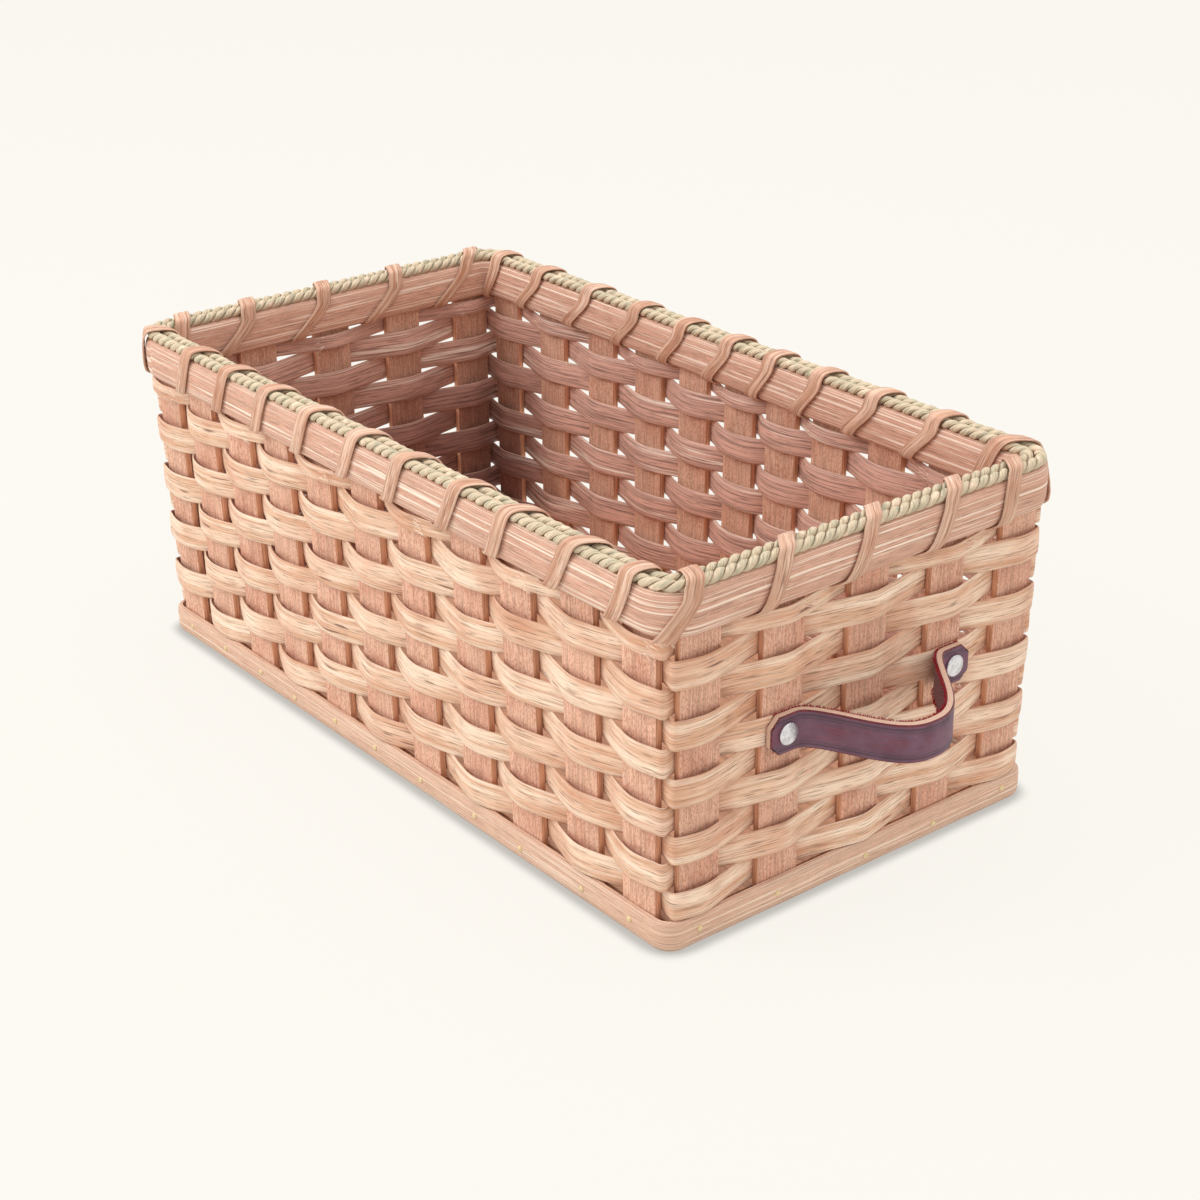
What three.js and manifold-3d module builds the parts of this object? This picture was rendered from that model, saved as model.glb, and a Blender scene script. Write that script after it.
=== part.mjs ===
// Woven reed storage basket with a riveted leather handle on one short side.
// Millimetres, +Z up. X runs along the length, Y across the width.
// The origin is on the floor under the middle of the base.
import * as THREE from "three";
import { mergeVertices } from "three/addons/utils/BufferGeometryUtils.js";
import Module from "manifold-3d";

// Size over the base band, and how much longer and wider the basket is over the outer rim band
const BASE_LENGTH = 410;
const BASE_WIDTH = 215;
const LENGTH_FLARE = 10;
const WIDTH_FLARE = 9;

// Corner radius of the wall's middle surface, and the least radius of a line inside it
const CORNER_RADIUS = 4.5;
const LEAST_RADIUS = 2;
const CORNER_STEPS = 4;

// Base: a solid wooden board with the stakes held against its edge by a band
const BOARD_THICK = 11;
const BAND_HEIGHT = 13.8;
const BAND_THICK = 2.8;
const BAND_ROUNDING = 1.6;

// Stakes: the upright flat reeds
const LONG_STAKE_COUNT = 11;
const SHORT_STAKE_COUNT = 5;
const STAKE_WIDTH = 21.3;
const STAKE_THICK = 3.4;
const STAKE_FLOOR_GAP = 0.8;
const LONG_END_INSET = 15.9;
const SHORT_END_INSET = 14.4;

// How far each stake stands from even spacing, at the foot and at the rim, as shares of the
// spacing, anticlockwise along its side. Hand weaving leaves them uneven.
const FRONT_SHIFTS = {
  foot: [0, -0.1, -0.14, -0.19, -0.21, -0.18, -0.17, -0.07, -0.09, -0.02, -0.03],
  rim: [0, -0.14, -0.19, -0.23, -0.26, -0.2, -0.23, -0.11, -0.19, -0.06, 0],
};
const RIGHT_SHIFTS = { foot: [0.01, -0.01, 0.06, 0.09, 0], rim: [0.01, -0.02, 0.02, 0.04, 0] };
const BACK_SHIFTS = {
  foot: [0, 0.03, 0.06, 0.07, -0.05, -0.23, -0.3, -0.35, -0.3, -0.16, -0.05],
  rim: [0, 0.03, 0.06, 0.07, -0.05, -0.23, -0.3, -0.35, -0.3, -0.16, -0.05],
};
const LEFT_SHIFTS = { foot: [0, 0, 0, 0, 0], rim: [0, 0, 0, 0, 0] };

// Weavers: flat reeds that run round the basket, one ring to a row
const ROW_COUNT = 9;
const WEAVER_WIDTH = 13;
const WEAVER_THICK = 1.6;
const WEAVER_BULGE = 1.5;
const RIM_WEAVER_WIDTH = 7.7;

// How a weaver turns a corner, as shares of its distance from the wall's middle surface
const TURN_FROM_OUTSIDE = 0.6;
const TURN_FROM_INSIDE = 0.45;
const TURN_SWAY = 0.5;

// Rim: an outer and an inner band, two cords on top, and one lashing reed round them
const RIM_BAND_HEIGHT = 19.5;
const RIM_BAND_THICK = 4.4;
const RIM_BAND_ROUNDING = 3;
const RIM_BAND_EASE = 1.2;
const CORD_SEAT_DEPTH = 2.1;
const CORD_LIFT = 1.4;
const CORD_DIAMETER = 5.6;
const CORD_SIDES = 8;
const LASH_WIDTH = 8.7;
const LASH_THICK = 1;
const LASH_CORNER_WIDTH = 2.2;
const LASH_CORNER_INSET = 1.2;
const LASH_CORNER_OUTSET = 1;
const LASH_UNDER_INSET = 0.7;
const LASH_OVER_FIT = 0.65;

// How far along its pitch a lashing turn has come on each side, low and high on the outside and
// then high and low on the inside. The slant of hand winding differs from side to side.
const LASH_SHARES = {
  front: [0.22, 0.46, 0.84, 0.97],
  right: [0.17, 0.35, 0.68, 0.95],
  back: [0.08, 0.55, 0.76, 1.02],
  left: [0.1, 0.68, 0.81, 1.02],
};

// The same for each side's first turn, out of a corner, and its last, into one
const LASH_SHARES_FROM_CORNER = {
  front: [0, 0.07, 0.58, 0.95],
  right: [0.12, 0.28, 0.5, 0.95],
  back: [0.06, 0.25, 0.75, 0.9],
  left: [0.08, 0.22, 0.8, 1.02],
};
const LASH_SHARES_TO_CORNER = {
  front: [0.2, 0.42, 0.55, 0.9],
  right: [0.1, 0.2, 0.5, 0.9],
  back: [0.06, 0.4, 0.5, 0.9],
  left: [0.1, 0.3, 0.5, 0.9],
};
const LASH_OVER_STEP = 0.12;

// Handle: a bowed leather strap on the right side, held by a rivet at each end
const HANDLE_ROW_NUMBER = 6;
const HANDLE_DROP = 2;
const STRAP_WIDTH = 17.4;
const STRAP_THICK = 3.5;
const STRAP_BOW = 39;
const STRAP_FULLNESS = 1.27;
const STRAP_TAB = 10.5;
const STRAP_FLAT = 5;
const STRAP_CHAMFER = 4.6;
const STRAP_STEPS = 28;
const RIVET_SPREAD = 1.6;
const RIVET_CAP_DIAMETER = 10;
const RIVET_CAP_HEIGHT = 1.8;
const RIVET_POST_DIAMETER = 4;
const RIVET_SIDES = 16;

// Rivet profile, as shares of the cap's radius or height
const DOME_RADIUS = 0.62;
const DOME_HEIGHT = 0.85;
const CAP_EDGE_HEIGHT = 0.4;
const CAP_HOLLOW = 0.8;
const POST_IN_CAP = 0.6;

// Clearances between touching pieces
const FIT = 0.3;
const WEAVE_FIT = 0.35;
const BAND_FIT = 0.5;
const RIM_FIT = 0.6;
const LASH_FIT = 0.45;

// Heights
const rowBottom = BAND_HEIGHT + FIT;
const rowPitch = WEAVER_WIDTH + FIT;
const rimRowBottom = rowBottom + ROW_COUNT * rowPitch;
const rimRowTop = rimRowBottom + RIM_WEAVER_WIDTH;
const lashUnder = rimRowTop + LASH_FIT + LASH_THICK / 2;
const rimBottom = lashUnder + LASH_THICK / 2 + LASH_FIT;
const rimTop = rimBottom + RIM_BAND_HEIGHT;
const rimMiddle = (rimBottom + rimTop) / 2;

// Distances from the wall's middle surface, positive towards the outside
const stakeFace = STAKE_THICK / 2;
const weaverEdge = stakeFace + WEAVE_FIT + WEAVER_THICK / 2;
const bandInside = stakeFace + BAND_FIT;
const bandOutside = bandInside + BAND_THICK;
const rimInside = stakeFace + RIM_FIT;
const rimOutside = rimInside + RIM_BAND_THICK;
const lashFace = rimOutside + FIT + LASH_THICK / 2;

// Size over the outer rim band
const rimLength = BASE_LENGTH + LENGTH_FLARE;
const rimWidth = BASE_WIDTH + WIDTH_FLARE;

// The wall's middle surface at a height, as half of its length and half of its width
function halfSizes(z) {
  const t = z / rimMiddle;
  return {
    x: THREE.MathUtils.lerp(BASE_LENGTH / 2 - bandOutside, rimLength / 2 - rimOutside, t),
    y: THREE.MathUtils.lerp(BASE_WIDTH / 2 - bandOutside, rimWidth / 2 - rimOutside, t),
  };
}

// The four sides in order, anticlockwise seen from above, from the near left corner
const SIDES = [
  { name: "front", along: [1, 0], out: [0, -1], long: true, shifts: FRONT_SHIFTS },
  { name: "right", along: [0, 1], out: [1, 0], long: false, shifts: RIGHT_SHIFTS },
  { name: "back", along: [-1, 0], out: [0, 1], long: true, shifts: BACK_SHIFTS },
  { name: "left", along: [0, -1], out: [-1, 0], long: false, shifts: LEFT_SHIFTS },
].map((side) => ({
  ...side,
  along: new THREE.Vector2(...side.along),
  out: new THREE.Vector2(...side.out),
}));

// Every stake as its side and its place in the row along that side
const STAKES = SIDES.flatMap((side, sideIndex) => {
  const count = side.long ? LONG_STAKE_COUNT : SHORT_STAKE_COUNT;
  return Array.from({ length: count }, (_, place) => ({ side, sideIndex, place, count }));
});
const stakeAt = (number) => STAKES[(number + STAKES.length) % STAKES.length];

// How far a side reaches from its middle, and how far out it stands, at a height
function reach(side, z) {
  const half = halfSizes(z);
  return side.long ? { along: half.x, out: half.y } : { along: half.y, out: half.x };
}

// A stake's place along its side: evenly spaced, then shifted
function stakeAlong(stake, z) {
  const inset = stake.side.long ? LONG_END_INSET : SHORT_END_INSET;
  const end = reach(stake.side, z).along - inset;
  const spacing = (2 * end) / (stake.count - 1);
  const { foot, rim } = stake.side.shifts;
  const entry = Math.min(stake.place, foot.length - 1);
  const shift = THREE.MathUtils.lerp(foot[entry], rim[entry], z / rimMiddle);
  return stake.place * spacing - end + shift * spacing;
}

// A point on a side, by its distance along it and its distance out of the middle surface
function sidePoint(side, along, offset, z) {
  const out = reach(side, z).out + offset;
  return side.along.clone().multiplyScalar(along).addScaledVector(side.out, out);
}

// A rounded rectangle round the basket at a distance from the wall's middle surface
function roundedLoop(offset, z) {
  const radius = Math.max(CORNER_RADIUS + offset, LEAST_RADIUS);
  return SIDES.flatMap((side) => {
    const far = reach(side, z);
    const centre = side.along.clone().multiplyScalar(far.along + offset - radius);
    centre.addScaledVector(side.out, far.out + offset - radius);
    return Array.from({ length: CORNER_STEPS + 1 }, (_, step) => {
      const angle = ((Math.PI / 2) * step) / CORNER_STEPS;
      return centre
        .clone()
        .addScaledVector(side.out, radius * Math.cos(angle))
        .addScaledVector(side.along, radius * Math.sin(angle));
    });
  });
}

// A place round the basket by stake number: whole numbers are stakes, halves are gaps
function placeRound(number, offset, z) {
  const first = stakeAt(Math.floor(number));
  const second = stakeAt(Math.floor(number) + 1);
  const share = number - Math.floor(number);
  const from = stakeAlong(first, z);
  if (first.side === second.side) {
    const along = THREE.MathUtils.lerp(from, stakeAlong(second, z), share);
    return { point: sidePoint(first.side, along, offset, z), along: first.side.along.clone() };
  }
  const near = reach(first.side, z);
  const far = reach(second.side, z);
  const lead = near.along - CORNER_RADIUS - from;
  const arc = (CORNER_RADIUS * Math.PI) / 2;
  const trail = stakeAlong(second, z) + far.along - CORNER_RADIUS;
  const run = share * (lead + arc + trail);
  if (run <= lead) {
    return { point: sidePoint(first.side, from + run, offset, z), along: first.side.along.clone() };
  }
  if (run >= lead + arc) {
    const along = run - lead - arc + CORNER_RADIUS - far.along;
    return { point: sidePoint(second.side, along, offset, z), along: second.side.along.clone() };
  }
  const angle = (run - lead) / CORNER_RADIUS;
  const radius = Math.max(CORNER_RADIUS + offset, LEAST_RADIUS);
  const point = first.side.along.clone().multiplyScalar(near.along + offset - radius);
  point.addScaledVector(first.side.out, near.out + offset - radius);
  point.addScaledVector(first.side.out, radius * Math.cos(angle));
  point.addScaledVector(first.side.along, radius * Math.sin(angle));
  const along = first.side.along.clone().multiplyScalar(Math.cos(angle));
  along.addScaledVector(first.side.out, -Math.sin(angle));
  return { point, along };
}

// Materials
const finish = (color, roughness, metalness) =>
  new THREE.MeshStandardMaterial({ color, roughness, metalness });
const stakeReed = finish(0xb98163, 0.75, 0);
const weaverReed = finish(0xe0b38b, 0.7, 0);
const rimReed = finish(0xcb9678, 0.68, 0);
const lashReed = finish(0xdca074, 0.65, 0);
const seagrass = finish(0xc9c29c, 0.85, 0);
const boardWood = finish(0xc79a6f, 0.7, 0);
const leather = finish(0x5b3f4c, 0.55, 0);
const rivetMetal = finish(0xd9d9d4, 0.35, 0.9);

const basket = new THREE.Group();

function addPiece(name, geometry, material) {
  const mesh = new THREE.Mesh(geometry, material);
  mesh.name = name;
  basket.add(mesh);
  return mesh;
}

// Solid of rings of points joined in order; it closes on itself or gets a flat face at each end
function sweep(rings, closed) {
  const sides = rings[0].length;
  const points = rings.flat();
  const index = [];
  const last = closed ? rings.length : rings.length - 1;
  for (let ring = 0; ring < last; ring += 1) {
    const here = ring * sides;
    const next = ((ring + 1) % rings.length) * sides;
    for (let side = 0; side < sides; side += 1) {
      const beside = (side + 1) % sides;
      index.push(here + side, here + beside, next + beside);
      index.push(here + side, next + beside, next + side);
    }
  }
  if (!closed) {
    const end = (rings.length - 1) * sides;
    for (let side = 1; side < sides - 1; side += 1) {
      index.push(0, side + 1, side);
      index.push(end, end + side, end + side + 1);
    }
  }
  const geometry = new THREE.BufferGeometry().setFromPoints(points);
  geometry.setIndex(index);
  geometry.computeVertexNormals();
  return geometry;
}

// A band right round the basket from its section, a list of [distance out, height]
function bandAround(section) {
  const loops = section.map(([offset, z]) =>
    roundedLoop(offset, z).map((p) => new THREE.Vector3(p.x, p.y, z)),
  );
  const rings = loops[0].map((_, station) => loops.map((loop) => loop[station]));
  return sweep(rings, true);
}

// Cutting and joining
const wasm = await Module();
wasm.setup();

function toSolid(geometry) {
  const bare = geometry.clone();
  bare.deleteAttribute("normal");
  bare.deleteAttribute("uv");
  const merged = mergeVertices(bare, 1e-4);
  return new wasm.Manifold(
    new wasm.Mesh({
      numProp: 3,
      vertProperties: merged.attributes.position.array,
      triVerts: new Uint32Array(merged.index.array),
    }),
  );
}

function toGeometry(solid) {
  const mesh = solid.getMesh();
  const geometry = new THREE.BufferGeometry();
  geometry.setAttribute("position", new THREE.BufferAttribute(mesh.vertProperties, 3));
  geometry.setIndex(new THREE.BufferAttribute(mesh.triVerts, 1));
  geometry.computeVertexNormals();
  return geometry;
}

const cutFrom = (geometry, cutters) =>
  toGeometry(cutters.reduce((solid, cutter) => solid.subtract(cutter), toSolid(geometry)));

// Handle: which stakes carry it, in which row, and where its rivets go through
const firstSeat = LONG_STAKE_COUNT + 1;
const stakesBetweenRivets = 2 * Math.floor((SHORT_STAKE_COUNT - 3) / 2);
const handleSeats = [firstSeat, firstSeat + stakesBetweenRivets];
const handleRow = HANDLE_ROW_NUMBER + ((firstSeat + HANDLE_ROW_NUMBER) % 2);
const handleHeight = rowBottom + (handleRow - 1) * rowPitch + WEAVER_WIDTH / 2 - HANDLE_DROP;
const handleSide = stakeAt(firstSeat).side;
const [nearSeat, farSeat] = handleSeats.map((number) => stakeAlong(stakeAt(number), handleHeight));
const rivetPlaces = [nearSeat - RIVET_SPREAD, farSeat + RIVET_SPREAD];
const isHandleSeat = (row, number) => row === handleRow && handleSeats.includes(number);

// A piece drawn along an axis out of the wall, moved to where a rivet goes through
function toRivet(geometry, place) {
  const out = new THREE.Vector3(handleSide.out.x, handleSide.out.y, 0);
  const along = new THREE.Vector3(handleSide.along.x, handleSide.along.y, 0);
  const centre = sidePoint(handleSide, place, 0, handleHeight);
  const frame = new THREE.Matrix4().makeBasis(along, out, new THREE.Vector3(0, 0, -1));
  frame.setPosition(centre.x, centre.y, handleHeight);
  return geometry.applyMatrix4(frame);
}

// The hole that a rivet's post needs, as a cutter through the whole wall and the strap
function rivetHole(place) {
  const radius = RIVET_POST_DIAMETER / 2 + FIT;
  const depth = 2 * (rimOutside + STRAP_THICK + STRAP_BOW);
  return toSolid(toRivet(new THREE.CylinderGeometry(radius, radius, depth, RIVET_SIDES), place));
}
const rivetHoles = () => rivetPlaces.map(rivetHole);

// Base board
function baseBoard() {
  const outline = new THREE.Shape(roundedLoop(-(stakeFace + FIT), 0));
  return new THREE.ExtrudeGeometry(outline, { depth: BOARD_THICK, bevelEnabled: false });
}
addPiece("base_board", baseBoard(), boardWood);

// Base band, with its outer edges eased
addPiece(
  "base_band",
  bandAround([
    [bandInside, 0],
    [bandInside, BAND_HEIGHT],
    [bandOutside - BAND_ROUNDING / 2, BAND_HEIGHT],
    [bandOutside, BAND_HEIGHT - BAND_ROUNDING],
    [bandOutside, BAND_ROUNDING],
    [bandOutside - BAND_ROUNDING / 2, 0],
  ]),
  rimReed,
);

// Stakes: each a straight bar that leans out with the wall and ends under the cords
const cordRadius = CORD_DIAMETER / 2;
const stakeTop = rimTop - RIM_BAND_ROUNDING / 2;

function stakeBar(stake) {
  const ends = [STAKE_FLOOR_GAP, stakeTop].map((z) => {
    const foot = sidePoint(stake.side, stakeAlong(stake, z), 0, z);
    return new THREE.Vector3(foot.x, foot.y, z);
  });
  const up = ends[1].clone().sub(ends[0]);
  const length = up.length();
  up.normalize();
  const across = new THREE.Vector3(stake.side.along.x, stake.side.along.y, 0);
  const inward = new THREE.Vector3().crossVectors(up, across).normalize();
  across.crossVectors(inward, up).normalize();
  const bar = new THREE.BoxGeometry(STAKE_WIDTH, STAKE_THICK, length);
  const frame = new THREE.Matrix4().makeBasis(across, inward, up);
  frame.setPosition(ends[0].clone().add(ends[1]).multiplyScalar(0.5));
  return bar.applyMatrix4(frame);
}

STAKES.forEach((stake, number) => {
  const bar = stakeBar(stake);
  const geometry = handleSeats.includes(number) ? cutFrom(bar, rivetHoles()) : bar;
  addPiece(`stake_${stake.side.name}_${stake.place + 1}`, geometry, stakeReed);
});

// A weaver's middle line seen from above: out at one stake, in at the next, round and round
const isOutside = (row, number) => (number + row) % 2 === 0;

function weaverLine(row, z) {
  const line = [];
  STAKES.forEach((stake, number) => {
    const sign = isOutside(row, number) ? 1 : -1;
    const along = stakeAlong(stake, z);
    const edge = STAKE_WIDTH / 2 + FIT;
    const bulge = isHandleSeat(row, number) ? 0 : WEAVER_BULGE;
    line.push(sidePoint(stake.side, along - edge, sign * weaverEdge, z));
    line.push(sidePoint(stake.side, along, sign * (weaverEdge + bulge), z));
    line.push(sidePoint(stake.side, along + edge, sign * weaverEdge, z));
    const next = stakeAt(number + 1);
    if (next.side !== stake.side) {
      line.push(cornerPoint(stake.side, sign, z));
    }
  });
  return line;
}

// Where a weaver turns a corner, on its way in from the outside or out from the inside
function cornerPoint(side, sign, z) {
  const past = weaverEdge * (sign > 0 ? -TURN_FROM_OUTSIDE : TURN_FROM_INSIDE);
  return sidePoint(side, reach(side, z).along + past, sign * weaverEdge * TURN_SWAY, z);
}

// A closed line moved sideways by a distance, with mitred bends
function offsetLine(line, distance) {
  return line.map((point, index) => {
    const before = line[(index + line.length - 1) % line.length];
    const after = line[(index + 1) % line.length];
    const into = point.clone().sub(before).normalize();
    const onward = after.clone().sub(point).normalize();
    const normalIn = new THREE.Vector2(into.y, -into.x);
    const normalOut = new THREE.Vector2(onward.y, -onward.x);
    const mitre = normalIn.clone().add(normalOut).normalize();
    return point.clone().addScaledVector(mitre, distance / mitre.dot(normalIn));
  });
}

function weaverRing(row, bottom, width) {
  const line = weaverLine(row, bottom + width / 2);
  const outline = new THREE.Shape(offsetLine(line, WEAVER_THICK / 2));
  outline.holes.push(new THREE.Path(offsetLine(line, -WEAVER_THICK / 2)));
  const ring = new THREE.ExtrudeGeometry(outline, { depth: width, bevelEnabled: false });
  return ring.translate(0, 0, bottom);
}

for (let row = 1; row <= ROW_COUNT; row += 1) {
  const ring = weaverRing(row, rowBottom + (row - 1) * rowPitch, WEAVER_WIDTH);
  addPiece(`weaver_row_${row}`, row === handleRow ? cutFrom(ring, rivetHoles()) : ring, weaverReed);
}
addPiece("weaver_rim_row", weaverRing(ROW_COUNT + 1, rimRowBottom, RIM_WEAVER_WIDTH), weaverReed);

// Rim bands: flat towards the stakes, rounded away from them, with a seat for the cords on top
const rimSection = (sign) => {
  const section = [
    [rimInside, rimBottom],
    [rimInside, rimTop - CORD_SEAT_DEPTH],
    [rimOutside - RIM_BAND_EASE, rimTop],
    [rimOutside, rimTop - RIM_BAND_ROUNDING],
    [rimOutside, rimBottom + RIM_BAND_ROUNDING],
    [rimOutside - RIM_BAND_EASE, rimBottom],
  ];
  return sign > 0 ? section : section.map(([offset, z]) => [-offset, z]).reverse();
};
addPiece("rim_band_outer", bandAround(rimSection(1)), rimReed);
addPiece("rim_band_inner", bandAround(rimSection(-1)), rimReed);

// Cords: two side by side, each resting in the seat of its band
const cordOffset = cordRadius + FIT;
const cordHeight = rimTop - CORD_SEAT_DEPTH + cordRadius + CORD_LIFT;

function cordSection(offset) {
  return Array.from({ length: CORD_SIDES }, (_, side) => {
    const angle = (-2 * Math.PI * (side + 0.5)) / CORD_SIDES;
    return [offset + cordRadius * Math.cos(angle), cordHeight + cordRadius * Math.sin(angle)];
  });
}
addPiece("seagrass_cord_outer", bandAround(cordSection(cordOffset)), seagrass);
addPiece("seagrass_cord_inner", bandAround(cordSection(-cordOffset)), seagrass);

// Lashing: one reed wound round the rim, through each gap between two stakes in turn,
// its width measured along the rim.
// It starts and ends at the corner after the front side's last stake.
const overRadius = cordRadius + LASH_OVER_FIT + LASH_THICK / 2;
const overAngles = [0, Math.PI / 4, Math.PI / 2];

function lashingTurn([lowOutside, highOutside, highInside, lowInside]) {
  const rise = highInside - highOutside;
  const outer = overAngles.map((angle, step) => ({
    share: highOutside + rise * LASH_OVER_STEP * (step + 1),
    offset: cordOffset + overRadius * Math.cos(angle),
    z: cordHeight + overRadius * Math.sin(angle),
  }));
  const inner = outer
    .map((place) => ({
      share: highOutside + highInside - place.share,
      offset: -place.offset,
      z: place.z,
    }))
    .reverse();
  const low = rimBottom + RIM_BAND_ROUNDING;
  const high = rimTop - RIM_BAND_ROUNDING;
  const under = rimOutside - LASH_UNDER_INSET;
  return [
    { share: 0, offset: under, z: lashUnder, narrow: true },
    { share: lowOutside, offset: lashFace, z: low, onOuterBand: true },
    { share: highOutside, offset: lashFace, z: high, onOuterBand: true },
    ...outer,
    ...inner,
    { share: highInside, offset: -lashFace, z: high },
    { share: lowInside, offset: -lashFace, z: low, narrow: true, inside: true },
    { share: 1, offset: -under, z: lashUnder, narrow: true, inside: true },
  ];
}

const isCornerGap = (gap) => stakeAt(gap).sideIndex !== stakeAt(gap + 1).sideIndex;

// The turn that starts in the gap after a stake
function turnFrom(gap) {
  const { name } = stakeAt(gap + 1).side;
  if (isCornerGap(gap)) {
    return lashingTurn(LASH_SHARES_FROM_CORNER[name]);
  }
  return lashingTurn(isCornerGap(gap + 1) ? LASH_SHARES_TO_CORNER[name] : LASH_SHARES[name]);
}

function lashingPlaces() {
  const firstGap = LONG_STAKE_COUNT - 1;
  const places = [];
  for (let count = 0; count < STAKES.length; count += 1) {
    const gap = firstGap + count;
    turnFrom(gap).forEach((place) => {
      const corner = isCornerGap(place.inside ? gap + 1 : gap);
      const inset = corner && place.inside ? LASH_CORNER_INSET : 0;
      const outset = corner && place.onOuterBand ? LASH_CORNER_OUTSET : 0;
      const width = corner && place.narrow ? LASH_CORNER_WIDTH : LASH_WIDTH;
      const share = corner && place.inside ? 1 : place.share;
      const { point, along } = placeRound(gap + 0.5 + share, place.offset + outset - inset, place.z);
      places.push({ point: new THREE.Vector3(point.x, point.y, place.z), along, width });
    });
  }
  return places.slice(1, -1);
}

function lashing() {
  const places = lashingPlaces();
  const rings = places.map(({ point, along, width }, index) => {
    const before = places[Math.max(index - 1, 0)].point;
    const after = places[Math.min(index + 1, places.length - 1)].point;
    const forward = after.clone().sub(before).normalize();
    const across = new THREE.Vector3(along.x, along.y, 0);
    const face = new THREE.Vector3().crossVectors(across, forward).normalize();
    return [
      [-1, -1],
      [-1, 1],
      [1, 1],
      [1, -1],
    ].map(([wide, deep]) =>
      point
        .clone()
        .addScaledVector(across, (wide * width) / 2)
        .addScaledVector(face, (deep * LASH_THICK) / 2),
    );
  });
  return sweep(rings, false);
}
addPiece("rim_lashing", lashing(), lashReed);

// Handle strap: a plan outline with flat tabs and a bow between, its tab corners cut off
const strapInside = weaverEdge + WEAVER_THICK / 2 + FIT;

function strapLine(halfSpan) {
  const bowEnd = halfSpan - STRAP_FLAT;
  const line = [[-(halfSpan + STRAP_TAB), 0]];
  for (let step = 0; step <= STRAP_STEPS; step += 1) {
    const share = (2 * step) / STRAP_STEPS - 1;
    const turn = Math.PI * Math.abs(share) ** STRAP_FULLNESS;
    line.push([share * bowEnd, STRAP_BOW * (0.5 + 0.5 * Math.cos(turn))]);
  }
  line.push([halfSpan + STRAP_TAB, 0]);
  return line.map(([along, out]) => new THREE.Vector2(along, out));
}

// An open line moved sideways by a distance, square to its run
function offsetOpenLine(line, distance) {
  return line.map((point, index) => {
    const before = line[Math.max(index - 1, 0)];
    const after = line[Math.min(index + 1, line.length - 1)];
    const run = after.clone().sub(before).normalize();
    return point.clone().addScaledVector(new THREE.Vector2(-run.y, run.x), distance);
  });
}

function strap() {
  const middle = (rivetPlaces[0] + rivetPlaces[1]) / 2;
  const halfSpan = (rivetPlaces[1] - rivetPlaces[0]) / 2;
  const inner = strapLine(halfSpan);
  const outer = offsetOpenLine(inner, STRAP_THICK);
  const body = new THREE.ExtrudeGeometry(new THREE.Shape([...inner, ...outer.reverse()]), {
    depth: STRAP_WIDTH,
    bevelEnabled: false,
  });
  body.translate(0, strapInside, -STRAP_WIDTH / 2);
  const end = halfSpan + STRAP_TAB;
  const edge = STRAP_WIDTH / 2;
  const front = new THREE.Shape([
    new THREE.Vector2(-end, -edge + STRAP_CHAMFER),
    new THREE.Vector2(-end + STRAP_CHAMFER, -edge),
    new THREE.Vector2(end - STRAP_CHAMFER, -edge),
    new THREE.Vector2(end, -edge + STRAP_CHAMFER),
    new THREE.Vector2(end, edge - STRAP_CHAMFER),
    new THREE.Vector2(end - STRAP_CHAMFER, edge),
    new THREE.Vector2(-end + STRAP_CHAMFER, edge),
    new THREE.Vector2(-end, edge - STRAP_CHAMFER),
  ]);
  const depth = 2 * (STRAP_BOW + STRAP_THICK + strapInside);
  const frontBlock = new THREE.ExtrudeGeometry(front, { depth, bevelEnabled: false });
  frontBlock.translate(0, 0, -depth / 2).rotateX(Math.PI / 2);
  const trimmed = toGeometry(toSolid(body).intersect(toSolid(frontBlock)));
  return cutFrom(toRivet(trimmed, middle), rivetHoles());
}
addPiece("handle_strap", strap(), leather);

// Rivets: a domed cap and post from the outside, and a domed cap that closes it inside
const capRadius = RIVET_CAP_DIAMETER / 2;
const postRadius = RIVET_POST_DIAMETER / 2;
const strapOutside = strapInside + STRAP_THICK;
const capSeat = strapOutside + FIT;
const shortSideLean = Math.abs(halfSizes(rimMiddle).x - halfSizes(0).x) / rimMiddle;
const innerSeat = -(stakeFace + FIT + capRadius * shortSideLean);

function rivetWithPost() {
  const postEnd = innerSeat - RIVET_CAP_HEIGHT * POST_IN_CAP;
  const profile = [
    new THREE.Vector2(0, postEnd),
    new THREE.Vector2(postRadius, postEnd),
    new THREE.Vector2(postRadius, capSeat),
    new THREE.Vector2(capRadius, capSeat),
    new THREE.Vector2(capRadius, capSeat + RIVET_CAP_HEIGHT * CAP_EDGE_HEIGHT),
    new THREE.Vector2(capRadius * DOME_RADIUS, capSeat + RIVET_CAP_HEIGHT * DOME_HEIGHT),
    new THREE.Vector2(0, capSeat + RIVET_CAP_HEIGHT),
  ];
  return new THREE.LatheGeometry(profile, RIVET_SIDES);
}

function rivetCap() {
  const hole = postRadius + FIT;
  const profile = [
    new THREE.Vector2(0, innerSeat - RIVET_CAP_HEIGHT),
    new THREE.Vector2(capRadius * DOME_RADIUS, innerSeat - RIVET_CAP_HEIGHT * DOME_HEIGHT),
    new THREE.Vector2(capRadius, innerSeat - RIVET_CAP_HEIGHT * CAP_EDGE_HEIGHT),
    new THREE.Vector2(capRadius, innerSeat),
    new THREE.Vector2(hole, innerSeat),
    new THREE.Vector2(hole, innerSeat - RIVET_CAP_HEIGHT * CAP_HOLLOW),
    new THREE.Vector2(0, innerSeat - RIVET_CAP_HEIGHT * CAP_HOLLOW),
  ];
  return new THREE.LatheGeometry(profile, RIVET_SIDES);
}

rivetPlaces.forEach((place, index) => {
  addPiece(`rivet_${index + 1}`, toRivet(rivetWithPost(), place), rivetMetal);
  addPiece(`rivet_cap_${index + 1}`, toRivet(rivetCap(), place), rivetMetal);
});

export default basket;
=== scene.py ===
import bisect
import math
import random

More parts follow.
